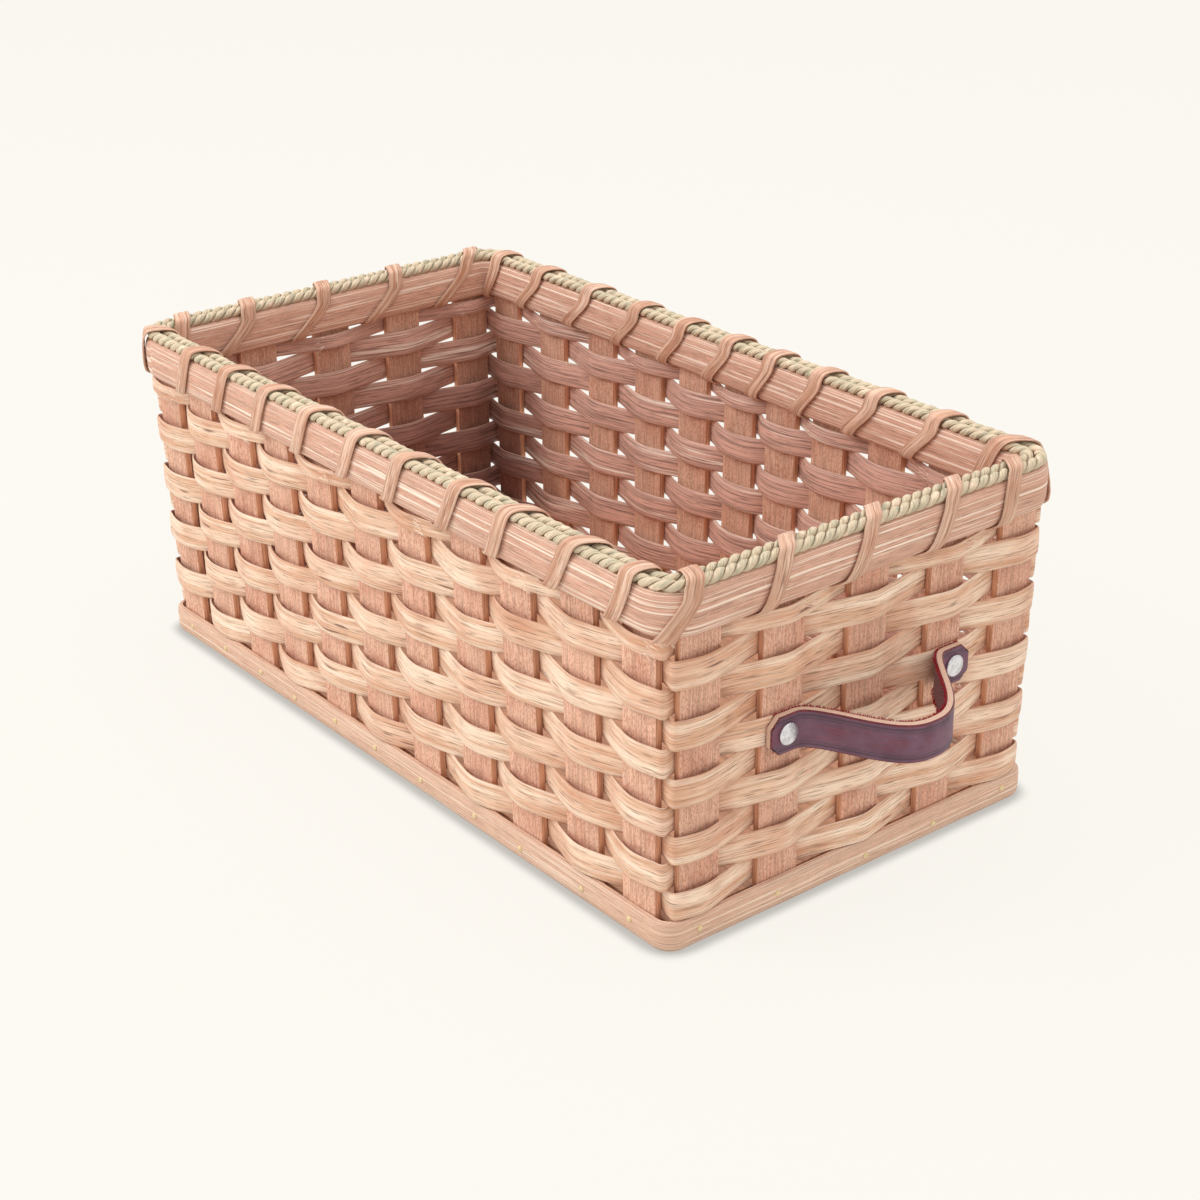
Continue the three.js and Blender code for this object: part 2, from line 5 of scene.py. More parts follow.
import bmesh
import bpy
from bpy.props import FloatProperty, FloatVectorProperty, IntProperty, PointerProperty
from mathutils import Matrix, Vector, noise


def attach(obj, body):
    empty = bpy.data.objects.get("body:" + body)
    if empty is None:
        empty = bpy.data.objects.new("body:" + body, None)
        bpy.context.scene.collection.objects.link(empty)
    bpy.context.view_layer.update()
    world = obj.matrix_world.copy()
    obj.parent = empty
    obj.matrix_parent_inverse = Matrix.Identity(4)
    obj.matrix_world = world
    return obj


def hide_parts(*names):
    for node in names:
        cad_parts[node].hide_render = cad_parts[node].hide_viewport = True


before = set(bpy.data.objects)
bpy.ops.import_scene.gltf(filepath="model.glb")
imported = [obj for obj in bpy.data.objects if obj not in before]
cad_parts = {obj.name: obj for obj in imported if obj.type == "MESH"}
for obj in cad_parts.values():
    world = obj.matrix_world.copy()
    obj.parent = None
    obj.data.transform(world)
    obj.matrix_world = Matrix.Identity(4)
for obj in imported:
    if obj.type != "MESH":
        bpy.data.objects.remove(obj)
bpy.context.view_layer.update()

bl_info = {
    "name": "Woven Reed Basket",
    "version": (1, 0, 0),
    "blender": (4, 5, 0),
    "location": "3D View > Sidebar > Basket",
    "description": "Dresses a woven reed storage basket: weave, wrapped rim, leather handle and finishes",
    "category": "Add Mesh",
}

UP = Vector((0, 0, 1))


def tint(red, green, blue):
    """Scene colour of a screen colour given as three numbers up to 255."""
    def linear(value):
        value /= 255
        return value / 12.92 if value <= 0.04045 else ((value + 0.055) / 1.055) ** 2.4
    return (linear(red), linear(green), linear(blue))


def length(name, text, default):
    return FloatProperty(name=name, description=text, default=default, min=0, unit="LENGTH",
                         subtype="DISTANCE", precision=4)


def share(name, text, default):
    return FloatProperty(name=name, description=text, default=default, min=0, max=2, subtype="FACTOR")


def colour(name, text, default):
    return FloatVectorProperty(name=name, description=text, default=tint(*default), size=3, min=0, max=1,
                               subtype="COLOR")


# Sizes and colours that a user would change

class BasketWallSizes(bpy.types.PropertyGroup):
    foot_length: length("Foot length", "Length over the base band", 0.410)
    foot_width: length("Foot width", "Width over the base band", 0.215)
    rim_length: length("Rim length", "Length over the outer rim band", 0.420)
    rim_width: length("Rim width", "Width over the outer rim band", 0.224)
    corner: length("Corner radius", "Corner radius of the wall's middle surface", 0.0045)
    long_stakes: IntProperty(name="Stakes on a long side", description="Upright reeds on a long side",
                             default=11, min=3)
    short_stakes: IntProperty(name="Stakes on a short side", description="Upright reeds on a short side",
                              default=5, min=3)
    long_inset: length("Long side inset", "From the corner to the end stake of a long side", 0.0159)
    short_inset: length("Short side inset", "From the corner to the end stake of a short side", 0.0144)


class BasketWeaveSizes(bpy.types.PropertyGroup):
    stake_width: length("Stake width", "Width of an upright reed", 0.0213)
    stake_thickness: length("Stake thickness", "Thickness of an upright reed", 0.0034)
    stake_foot: length("Stake foot", "Height of the uprights' lower ends", 0.0008)
    rows: IntProperty(name="Rows", description="Rows of full width weavers", default=9, min=1)
    row_bottom: length("First row", "Height of the lower edge of the first row", 0.0141)
    row_pitch: length("Row pitch", "Height from one row to the next", 0.0133)
    weaver_width: length("Weaver width", "Width of a weaving reed", 0.0134)
    weaver_thickness: length("Weaver thickness", "Thickness of a weaving reed", 0.0018)
    edge_reach: length("Reach at an edge", "Weaver's distance out of the wall at a stake's edge", 0.0028)
    bulge: length("Bulge", "How much further out the weaver stands over the stake's middle", 0.0019)
    rim_row_bottom: length("Narrow row", "Height of the lower edge of the narrow top row", 0.1337)
    rim_row_width: length("Narrow weaver width", "Width of the narrow top weaver", 0.0079)


class BasketRimSizes(bpy.types.PropertyGroup):
    band_height: length("Base band height", "Height of the base band", 0.0138)
    band_reach: length("Base band reach", "Base band's outer face, from the wall's middle surface", 0.0050)
    band_thickness: length("Base band thickness", "Thickness of the base band", 0.0028)
    rim_bottom: length("Rim bottom", "Height of the rim bands' lower edge", 0.1434)
    rim_height: length("Rim height", "Height of the rim bands", 0.0195)
    rim_reach: length("Rim reach", "Rim bands' outer face, from the wall's middle surface", 0.0067)
    rim_thickness: length("Rim thickness", "Thickness of a rim band", 0.0044)
    rim_corner: length("Rim corner", "Corner radius of the wall's middle surface within the rim", 0.0112)
    cord_height: length("Cord height", "Height of the cords' middle", 0.1650)
    cord_reach: length("Cord reach", "Cords' distance from the wall's middle surface", 0.0028)
    cord_lay: length("Cord lay", "Length of one full twist of a cord", 0.0118)
    ply_radius: length("Ply radius", "Radius of one ply of a cord", 0.00152)
    lash_width: length("Lashing width", "Width of the lashing reed", 0.0087)
    lash_thickness: length("Lashing thickness", "Thickness of the lashing reed", 0.0011)
    tack_radius: length("Tack radius", "Radius of a base tack's head", 0.0015)


class BasketHandleSizes(bpy.types.PropertyGroup):
    height: length("Height", "Height of the strap's middle line", 0.0851)
    spread: length("Rivet spread", "From the middle of a stake out to its rivet", 0.0016)
    width: length("Width", "Width of the strap", 0.0174)
    thickness: length("Thickness", "Thickness of the strap", 0.0035)
    bow: length("Bow", "How far the strap bows out from the wall", 0.0362)
    sag: length("Sag", "How far the bow hangs under its own weight", 0.0038)
    fullness: share("Fullness", "How full the bow is; 1 is a plain wave", 1.27)
    tab: length("Tab", "From a rivet to the end of the strap", 0.0092)
    flat: length("Flat", "Flat run inside each rivet", 0.005)
    chamfer: length("Chamfer", "Cut corners of the strap's ends", 0.0046)
    seat: length("Seat", "Strap's back, from the wall's middle surface", 0.00395)
    cap_radius: length("Cap radius", "Radius of a rivet cap", 0.005)
    cap_height: length("Cap height", "Height of a rivet cap", 0.0018)
    post_radius: length("Post radius", "Radius of a rivet's post", 0.002)


class BasketColours(bpy.types.PropertyGroup):
    weaver_light: colour("Weaver, light", "Light grain of the weaving reed", (252, 222, 195))
    weaver_dark: colour("Weaver, dark", "Dark grain of the weaving reed", (227, 178, 144))
    weaver_streak: colour("Weaver, streak", "Pale streaks in the weaving reed", (252, 238, 222))
    weaver_back: colour("Weaver, back", "Weaving reed inside the basket", (226, 178, 160))
    stake_face: colour("Stake, face", "Faces of the upright reeds", (240, 190, 162))
    stake_fleck: colour("Stake, fleck", "Dark flecks in the upright reeds", (190, 126, 100))
    stake_edge: colour("Stake, edge", "Cut edges of the upright reeds", (224, 164, 130))
    rim_face: colour("Rim, face", "Ground colour of the rim bands", (224, 172, 147))
    band_face: colour("Band, face", "Reed of the base band", (231, 186, 158))
    rim_streak: colour("Rim, streak", "Pale streaks along the rim bands", (250, 228, 208))
    lash_light: colour("Lashing, light", "Light grain of the lashing reed", (228, 190, 164))
    lash_dark: colour("Lashing, dark", "Dark grain of the lashing reed", (194, 142, 113))
    seagrass_light: colour("Seagrass, light", "Straw parts of the cords", (218, 198, 168))
    seagrass_green: colour("Seagrass, green", "Green parts of the cords", (184, 178, 150))
    board: colour("Board", "Base board", (220, 168, 135))
    leather: colour("Leather", "Waxed face of the strap", (112, 74, 94))
    leather_edge: colour("Leather edge", "Cut edges of the strap", (226, 190, 168))
    leather_dye: colour("Leather dye", "Dyed back and borders of the strap", (176, 42, 54))
    metal: colour("Metal", "Rivet caps", (230, 228, 230))
    brass: colour("Brass", "Base tacks", (242, 216, 166))
    ground: colour("Ground", "Floor of the studio", (251, 248, 241))


def settings(name):
    return getattr(bpy.context.scene, "basket_" + name)


# Layout of the wall

class Side:
    """A side of the wall; foot and rim hold each stake's shift from even spacing there, in spacings."""

    def __init__(self, name, along, is_long, foot, rim):
        self.name = name
        self.along = Vector(along)
        self.out = self.along.cross(UP)
        self.is_long = is_long
        self.foot = foot
        self.rim = rim


FRONT_FOOT_SHIFTS = (0, -0.1, -0.14, -0.19, -0.21, -0.18, -0.17, -0.07, -0.09, -0.02, -0.03)
FRONT_RIM_SHIFTS = (0, -0.14, -0.19, -0.23, -0.26, -0.2, -0.23, -0.11, -0.19, -0.06, 0)
RIGHT_FOOT_SHIFTS = (0.01, -0.01, 0.06, 0.09, 0)
RIGHT_RIM_SHIFTS = (0.01, -0.02, 0.02, 0.04, 0)
BACK_SHIFTS = (0, 0.03, 0.06, 0.07, -0.05, -0.23, -0.3, -0.35, -0.3, -0.16, -0.05)
LEFT_SHIFTS = (0, 0, 0, 0, 0)
SIDES = (Side("front", (1, 0, 0), True, FRONT_FOOT_SHIFTS, FRONT_RIM_SHIFTS),
         Side("right", (0, 1, 0), False, RIGHT_FOOT_SHIFTS, RIGHT_RIM_SHIFTS),
         Side("back", (-1, 0, 0), True, BACK_SHIFTS, BACK_SHIFTS),
         Side("left", (0, -1, 0), False, LEFT_SHIFTS, LEFT_SHIFTS))
HANDLE_SIDE = SIDES[1]
# Stakes that are clearly wider or narrower than the others, by side and place from 0
ODD_WIDTHS = {("front", 0): 0.0197, ("right", 1): 0.0220, ("right", 3): 0.0198}
# How far below the rim bands the corner is already as round as in them
RIM_CORNER_BELOW = 0.0015
# Smallest radius of a corner that is offset inwards
TIGHTEST_CORNER = 0.002


def height_share(z):
    """A height as a share of that of the rim bands' middle."""
    rim = settings("rim")
    return z / (rim.rim_bottom + rim.rim_height / 2)


def wall_half(z):
    """Half the length and half the width of the wall's middle surface at a height."""
    wall, rim = settings("wall"), settings("rim")
    high = height_share(z)

    def between(foot, top):
        return (foot / 2 - rim.band_reach) * (1 - high) + (top / 2 - rim.rim_reach) * high
    return between(wall.foot_length, wall.rim_length), between(wall.foot_width, wall.rim_width)


def wall_lean():
    """How far the wall leans out for each unit of height."""
    low, high = wall_half(0), wall_half(1)
    return (high[0] - low[0] + high[1] - low[1]) / 2


def reach(side, z):
    """How far a side reaches from its middle, and how far out it stands, at a height."""
    half_x, half_y = wall_half(z)
    return (half_x, half_y) if side.is_long else (half_y, half_x)


def side_point(side, along, offset, z):
    return side.along * along + side.out * (reach(side, z)[1] + offset) + UP * z


def stakes():
    """Every stake in order round the basket as its side, its place on it and their count."""
    wall = settings("wall")
    row = []
    for side in SIDES:
        count = wall.long_stakes if side.is_long else wall.short_stakes
        row += [(side, place, count) for place in range(count)]
    return row


def stake_along(stake, z):
    """How far along its side a stake's middle stands at a height."""
    side, place, count = stake
    wall = settings("wall")
    end = reach(side, z)[0] - (wall.long_inset if side.is_long else wall.short_inset)
    spacing = 2 * end / (count - 1)
    entry = min(place, len(side.foot) - 1)
    high = height_share(z)
    shift = side.foot[entry] * (1 - high) + side.rim[entry] * high
    return (place + shift) * spacing - end


def loop_place(half, radius, run):
    """Point and outward direction at a distance along a rounded rectangle.

    The distance runs anticlockwise from the left end of the front.
    """
    for side in SIDES:
        far, out = (half[0], half[1]) if side.is_long else (half[1], half[0])
        straight = 2 * (far - radius)
        if run <= straight:
            return side.along * (run - far + radius) + side.out * out, side.out.copy()
        run -= straight
        arc = radius * math.pi / 2
        if run <= arc or side is SIDES[-1]:
            angle = run / radius
            outward = side.out * math.cos(angle) + side.along * math.sin(angle)
            centre = side.along * (far - radius) + side.out * (out - radius)
            return centre + outward * radius, outward
        run -= arc


def loop_length(half, radius):
    return 4 * (half[0] + half[1] - 2 * radius) + 2 * math.pi * radius


def corner_at(z):
    """Corner radius of the wall's middle surface at a height; the rim is rounder than the wall below it."""
    rim = settings("rim")
    return rim.rim_corner if z > rim.rim_bottom - RIM_CORNER_BELOW else settings("wall").corner


def round_place(number, offset, z):
    """Point and direction of the rim at a place counted in stakes; a half is the gap after the stake."""
    row = stakes()
    whole = math.floor(number)
    first, second = row[whole % len(row)], row[(whole + 1) % len(row)]
    part = number - whole
    start = stake_along(first, z)
    if first[0] is second[0]:
        along = start + (stake_along(second, z) - start) * part
        return side_point(first[0], along, offset, z), first[0].along.copy()
    corner = corner_at(z)
    near, far = reach(first[0], z), reach(second[0], z)
    lead = near[0] - corner - start
    arc = corner * math.pi / 2
    trail = stake_along(second, z) + far[0] - corner
    run = part * (lead + arc + trail)
    if run <= lead:
        return side_point(first[0], start + run, offset, z), first[0].along.copy()
    if run >= lead + arc:
        return side_point(second[0], run - lead - arc + corner - far[0], offset, z), second[0].along.copy()
    angle = (run - lead) / corner
    radius = max(corner + offset, TIGHTEST_CORNER)
    outward = first[0].out * math.cos(angle) + first[0].along * math.sin(angle)
    centre = first[0].along * (near[0] + offset - radius) + first[0].out * (near[1] + offset - radius)
    return centre + outward * radius + UP * z, UP.cross(outward)


def smooth_line(points, steps, closed):
    """Points of a smooth line through the given ones, with the same number of steps in each span."""
    count = len(points)
    spans = count if closed else count - 1
    line = []
    for index in range(spans):
        a, b, c, d = ((points[(index + k) % count] if closed else points[min(max(index + k, 0), count - 1)])
                      for k in (-1, 0, 1, 2))
        gaps = [max((q - p).length ** 0.5, 1e-4) for p, q in ((a, b), (b, c), (c, d))]
        leave = (b - a) / gaps[0] - (c - a) / (gaps[0] + gaps[1]) + (c - b) / gaps[1]
        arrive = (c - b) / gaps[1] - (d - b) / (gaps[1] + gaps[2]) + (d - c) / gaps[2]
        leave, arrive = leave * gaps[1], arrive * gaps[1]
        for step in range(steps):
            t = step / steps
            line.append(b * (2 * t ** 3 - 3 * t ** 2 + 1) + leave * (t ** 3 - 2 * t ** 2 + t)
                        + c * (3 * t ** 2 - 2 * t ** 3) + arrive * (t ** 3 - t ** 2))
    if not closed:
        line.append(points[-1].copy())
    return line


# Making pieces

def strip(bm, stations, section, closed, start):
    """Reed of a closed section swept along stations of (centre, across, out, scale).

    Its UV map holds the metres along the reed, counted from start, and the share of the way round it.
    """
    runs = len(stations) if closed else len(stations) - 1
    girth = len(section)
    uv = bm.loops.layers.uv.verify()
    made = bmesh.ops.create_grid(bm, x_segments=runs, y_segments=girth, size=0.5)["verts"]
    far = [start]
    for index in range(runs):
        step = stations[(index + 1) % len(stations)][0] - stations[index][0]
        far.append(far[-1] + step.length)
    places = {}
    for vert in made:
        i, j = round((vert.co.x + 0.5) * runs), round((vert.co.y + 0.5) * girth)
        places[vert] = (far[i], j / girth)
        centre, across, out, scale = stations[i % len(stations)]
        a, b = section[j % girth]
        vert.co = centre + across * (a * scale[0]) + out * (b * scale[1])
    faces = {face for vert in made for face in vert.link_faces}
    for face in faces:
        for loop in face.loops:
            loop[uv].uv = places[loop.vert]
    bmesh.ops.remove_doubles(bm, verts=made, dist=1e-7)
    kept = {vert for face in faces if face.is_valid for vert in face.verts}
    if not closed:
        ends = {edge for vert in kept for edge in vert.link_edges if edge.is_boundary}
        bmesh.ops.holes_fill(bm, edges=list(ends), sides=0)
    bmesh.ops.recalc_face_normals(bm, faces=list({face for vert in kept for face in vert.link_faces}))


def oval(width, thickness, points, square):
    """Section of a flat reed as (across, out), from its upper edge outwards; a low square is boxy."""
    def part(value):
        return math.copysign(abs(value) ** square, value)
    turns = [2 * math.pi * k / points for k in range(points)]
    return [(width / 2 * part(math.cos(t)), thickness / 2 * part(math.sin(t))) for t in turns]


def half_round(inner, outer, bottom, top, points, square=0.62, crown=0.5):
    """Section of a band as (height, distance out), flat on the wall's side and rounded outside."""
    middle, half = (bottom + top) / 2, (top - bottom) / 2
    line = []
    for k in range(points + 1):
        t = math.pi * k / points
        line.append((middle + half * math.copysign(abs(math.cos(t)) ** square, math.cos(t)),
                     inner + (outer - inner) * math.sin(t) ** crown))
    return line


def facing(direction):
    """Turn that brings the upright axis into a direction."""
    return UP.rotation_difference(direction).to_matrix().to_4x4()


def turn_to(x, y, z):
    """Turn that brings the three axes into these directions."""
    return Matrix((x, y, z)).transposed().to_4x4()


def move(bm, verts, point, turn):
    """Turns vertices about the origin and then brings the origin to a point."""
    bmesh.ops.transform(bm, matrix=Matrix.Translation(point) @ turn, verts=verts)


# Shortest and longest fibre in shares of the usual one, and how far a fibre leans off its direction
HAIR_LENGTHS = (0.5, 1.2)
HAIR_LEAN = 0.5
# Thickness of its tip in shares of its root's, and how far its middle stands off the root in its lengths
HAIR_TIP = 0.3
HAIR_OUT = 0.4


def hairs(bm, roots, usual, thickness, rng):
    """Loose fibres: thin three sided wands rooted at each (point, direction)."""
    for point, direction in roots:
        size = usual * rng.uniform(*HAIR_LENGTHS)
        lean = Vector([rng.uniform(-HAIR_LEAN, HAIR_LEAN) for _ in range(3)])
        heading = (direction + lean).normalized()
        made = bmesh.ops.create_cone(bm, cap_ends=True, segments=3, radius1=thickness,
                                     radius2=thickness * HAIR_TIP, depth=size)["verts"]
        move(bm, made, point + heading * size * HAIR_OUT, facing(heading))


def finish_piece(name, bm, materials, replaced=(), sharp=40):
    """Turns a bmesh into a piece that rides on the basket."""
    for edge in bm.edges:
        edge.smooth = len(edge.link_faces) != 2 or edge.calc_face_angle(0) < math.radians(sharp)
    for face in bm.faces:
        face.smooth = True
    mesh = bpy.data.meshes.new(name)
    bm.to_mesh(mesh)
    bm.free()
    piece = bpy.data.objects.new(name, mesh)
    bpy.context.scene.collection.objects.link(piece)
    for material in materials:
        mesh.materials.append(material)
    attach(piece, "root")
    if replaced:
        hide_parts(*replaced)


# Finishes

# Rough girths in metres, which turn a share of the way round a reed into a distance
WEAVER_GIRTH = 0.030
BAND_GIRTH = 0.046
LASH_GIRTH = 0.0195
PLY_GIRTH = 0.0104
# Share of the way round a weaver at the middle of its outer face
OUTER_MIDDLE = 0.25
# Tints that darken a finish: in its clouds, and as painted shade at a weaver's borders and deep inside the
# basket
WEAVER_CLOUD = (0.89, 0.77, 0.73)
LASH_CLOUD = (0.94, 0.84, 0.80)
STAKE_CLOUD = (0.90, 0.80, 0.78)
WEAVER_BORDER_SHADE = (0.62, 0.48, 0.40)
INNER_SHADE_TINT = (0.42, 0.36, 0.38)
# Pale flecks of a stake and fine scratches of the leather
PALE_FLECK = (0.95, 0.70, 0.53)
LEATHER_SCRATCH = (0.42, 0.32, 0.42)
# Lines pressed into the leather: distance from its edge, half width, half width with soft borders, and depth
TOOLED_LINES = ((0.0021, 0.0002, 0.0007, 1.0), (0.0034, 0.0001, 0.0005, 0.6))
# Floor's shade in the corner where it meets the basket, how far that reaches, and the floor's own glow
CONTACT_SHADE = (0.535, 0.515, 0.485)
CONTACT_REACH = 0.0085
PAPER_GLOW = 0.915


class Finish:
    """A material whose nodes are added and joined by name."""

    def __init__(self, name):
        self.material = bpy.data.materials.new(name)
        self.material.use_nodes = True
        self.tree = self.material.node_tree
        self.tree.nodes.clear()
        self.shader = self.node("ShaderNodeBsdfPrincipled")
        output = self.node("ShaderNodeOutputMaterial")
        self.tree.links.new(self.shader.outputs[0], output.inputs["Surface"])

    def node(self, kind, inputs=None, **values):
        made = self.tree.nodes.new(kind)
        for key, value in values.items():
            setattr(made, key, value)
        for key, value in (inputs or {}).items():
            self.put(made.inputs[key], value)
        return made

    def put(self, socket, value):
        if isinstance(value, bpy.types.NodeSocket):
            self.tree.links.new(value, socket)
        elif socket.type == "RGBA" and len(value) == 3:
            socket.default_value = (*value, 1)
        else:
            socket.default_value = value

    def math(self, operation, a, b=0.0):
        return self.node("ShaderNodeMath", {0: a, 1: b}, operation=operation).outputs[0]

    def times(self, a, b):
        return self.math("MULTIPLY", a, b)

    def weighed(self, a, share_of_a, b, share_of_b):
        """Two values added, each times its share."""
        return self.math("ADD", self.times(a, share_of_a), self.times(b, share_of_b))

    def run_and_girth(self):
        """The piece's UV map: metres along the reed, and the share of the way round it."""
        parts = self.node("ShaderNodeSeparateXYZ", {0: self.node("ShaderNodeUVMap").outputs[0]})
        return parts.outputs[0], parts.outputs[1]

    def place(self):
        return self.node("ShaderNodeTexCoord").outputs["Object"]

    def scaled(self, vector, scale):
        return self.node("ShaderNodeMapping", {"Vector": vector, "Scale": scale}).outputs[0]

    def noise(self, vector, scale=1.0, detail=3.0, roughness=0.55, distortion=0.0):
        made = self.node("ShaderNodeTexNoise", {"Vector": vector, "Scale": scale, "Detail": detail,
                                                "Roughness": roughness, "Distortion": distortion})
        return made.outputs["Fac"]

    def grain(self, reed, along, across, seed=0.0, detail=3.0, roughness=0.55):
        """Noise on a reed's run and girth in metres, at one scale along it and another across it."""
        run, girth = reed
        stretched = {0: self.times(run, along), 1: self.times(girth, across), 2: seed}
        vector = self.node("ShaderNodeCombineXYZ", stretched).outputs[0]
        return self.noise(vector, 1.0, detail, roughness)

    def ramp(self, value, low, high, most=1.0):
        """0 below low, most above high, smooth between; the other way about where low is above high."""
        made = self.node("ShaderNodeMapRange",
                         {"Value": value, "From Min": low, "From Max": high, "To Max": most},
                         interpolation_type="SMOOTHSTEP")
        return made.outputs["Result"]

    def mix(self, amount, a, b, blend="MIX"):
        made = self.node("ShaderNodeMix", data_type="RGBA", blend_type=blend)
        factor, first, second, result = made.inputs[0], made.inputs[6], made.inputs[7], made.outputs[2]
        self.put(factor, amount)
        self.put(first, a)
        self.put(second, b)
        return result

    def bump(self, height, strength, distance):
        made = self.node("ShaderNodeBump", {"Height": height, "Strength": strength, "Distance": distance})
        return made.outputs["Normal"]

    def inner_shade(self, base):
        """Painted shade: darkens towards the foot of the left wall, the deepest part of the inside."""
        x, _, z = self.node("ShaderNodeSeparateXYZ", {0: self.place()}).outputs
        deep = self.times(self.ramp(x, -0.13, -0.18), self.ramp(z, 0.15, 0.05))
        return self.mix(deep, base, INNER_SHADE_TINT, "MULTIPLY")

    def done(self, base, roughness, normal=None, **inputs):
        """The material, with its shader's other inputs given by name."""
        self.put(self.shader.inputs["Base Color"], base)
        self.put(self.shader.inputs["Roughness"], roughness)
        if normal:
            self.put(self.shader.inputs["Normal"], normal)
        for key, value in inputs.items():
            self.put(self.shader.inputs[key.replace("_", " ")], value)
        return self.material


def keep_finish(name, make):
    """The finish of that name, made once."""
    return bpy.data.materials.get(name) or make(Finish(name), settings("colours"))


def dark_of(rgb, amount):
    return tuple(value * amount for value in rgb)


def hairlines(f, base, reed, seed, dark, pale):
    """Crisp dark and pale lines along a reed."""
    hair = f.grain(reed, 80, 3400, seed, 2)
    base = f.mix(f.ramp(hair, 0.55, 0.65, 0.7), base, dark)
    return f.mix(f.ramp(hair, 0.42, 0.32, 0.42), base, pale)


def weaver_finish(f, colours):
    run, girth = f.run_and_girth()
    reed = (run, f.times(girth, WEAVER_GIRTH))
    fine = f.grain(reed, 22, 1500, detail=4)
    broad = f.grain(reed, 7, 260, 4.0, 2)
    light = weaver_outside(f, colours, reed, fine, broad)
    # Painted shade in a strip along both borders of the weaver's outer face, where the rows meet
    from_middle = f.math("ABSOLUTE", f.math("SUBTRACT", girth, OUTER_MIDDLE))
    light = f.mix(f.ramp(from_middle, 0.21, 0.25, 0.55), light, WEAVER_BORDER_SHADE, "MULTIPLY")
    inside = f.times(f.ramp(girth, 0.51, 0.55), f.ramp(girth, 0.99, 0.95))
    base = f.mix(inside, light, weaver_inside(f, colours, reed, fine, broad))
    height = f.weighed(fine, 0.7, broad, 0.3)
    return f.done(base, f.ramp(fine, -0.6, 1.6), f.bump(height, 0.55, 0.0006), Specular_IOR_Level=0.35)


def weaver_outside(f, colours, reed, fine, broad):
    base = f.mix(f.ramp(broad, 0.36, 0.64), colours.weaver_light, colours.weaver_dark)
    base = f.mix(f.ramp(fine, 0.5, 0.72, 0.75), base, dark_of(colours.weaver_dark, 0.6))
    base = hairlines(f, base, reed, 2.0, dark_of(colours.weaver_dark, 0.32), colours.weaver_streak)
    base = f.mix(f.ramp(fine, 0.46, 0.3, 0.45), base, colours.weaver_streak)
    crack = f.grain(reed, 40, 800, 9.0, 1)
    base = f.mix(f.ramp(crack, 0.68, 0.76, 0.8), base, dark_of(colours.stake_fleck, 0.3))
    cloud = f.noise(f.place(), 34, 2)
    return f.mix(f.ramp(cloud, 0.42, 0.68), base, WEAVER_CLOUD, "MULTIPLY")


def weaver_inside(f, colours, reed, fine, broad):
    base = f.mix(f.ramp(fine, 0.42, 0.66), colours.weaver_back, dark_of(colours.weaver_back, 0.45))
    base = hairlines(f, base, reed, 2.0, dark_of(colours.weaver_back, 0.26), colours.weaver_back)
    pale = f.times(f.ramp(broad, 0.56, 0.66), f.ramp(fine, 0.56, 0.44))
    return f.inner_shade(f.mix(pale, base, colours.weaver_streak))


def rim_finish(f, colours):
    return band_reed(f, colours, colours.rim_face, 0.95)


def base_band_finish(f, colours):
    return band_reed(f, colours, colours.band_face, 0.65)


def band_reed(f, colours, face, streaks):
    run, girth = f.run_and_girth()
    reed = (run, f.times(girth, BAND_GIRTH))
    fine = f.grain(reed, 16, 1700, detail=4)
    streak = f.grain(reed, 7, 620, 3.0, 3, 0.6)
    pores = f.grain(reed, 160, 1600, 7.0, 2)
    base = f.mix(f.ramp(fine, 0.4, 0.68), face, dark_of(face, 0.72))
    base = f.mix(f.ramp(pores, 0.5, 0.72, 0.5), base, dark_of(face, 0.5))
    base = hairlines(f, base, reed, 8.0, dark_of(face, 0.36), colours.rim_streak)
    base = f.mix(f.ramp(streak, 0.53, 0.62, streaks), base, colours.rim_streak)
    height = f.weighed(streak, 0.6, fine, 0.4)
    return f.done(base, 0.62, f.bump(height, 0.6, 0.0007), Specular_IOR_Level=0.35)


def fibre_finish(f, colours):
    grain = f.noise(f.place(), 900, 2)
    base = f.mix(f.ramp(grain, 0.4, 0.62), colours.weaver_streak, colours.weaver_light)
    return f.done(base, 0.7, f.bump(grain, 0.2, 0.0002), Specular_IOR_Level=0.3)


def lash_finish(f, colours):
    run, girth = f.run_and_girth()
    reed = (run, f.times(girth, LASH_GIRTH))
    fine = f.grain(reed, 26, 1500)
    rib = f.grain(reed, 5, 620, 6.0, 1)
    base = f.mix(f.ramp(rib, 0.36, 0.64), colours.lash_light, colours.lash_dark)
    base = f.mix(f.ramp(fine, 0.5, 0.74, 0.6), base, dark_of(colours.lash_dark, 0.66))
    base = hairlines(f, base, reed, 4.0, dark_of(colours.lash_dark, 0.36), colours.weaver_streak)
    cloud = f.noise(f.place(), 60, 2)
    base = f.mix(f.ramp(cloud, 0.45, 0.7), base, LASH_CLOUD, "MULTIPLY")
    height = f.weighed(rib, 0.8, fine, 0.3)
    return f.done(base, 0.55, f.bump(height, 0.7, 0.0006), Specular_IOR_Level=0.4)


def stake_finish(f, colours):
    return stake_reed(f, colours, colours.stake_face, False)


# Painted shade: the stake's face inside the basket is a darker copy of its outer face's colour
def stake_back_finish(f, colours):
    return stake_reed(f, colours, dark_of(colours.stake_face, 0.88), True)


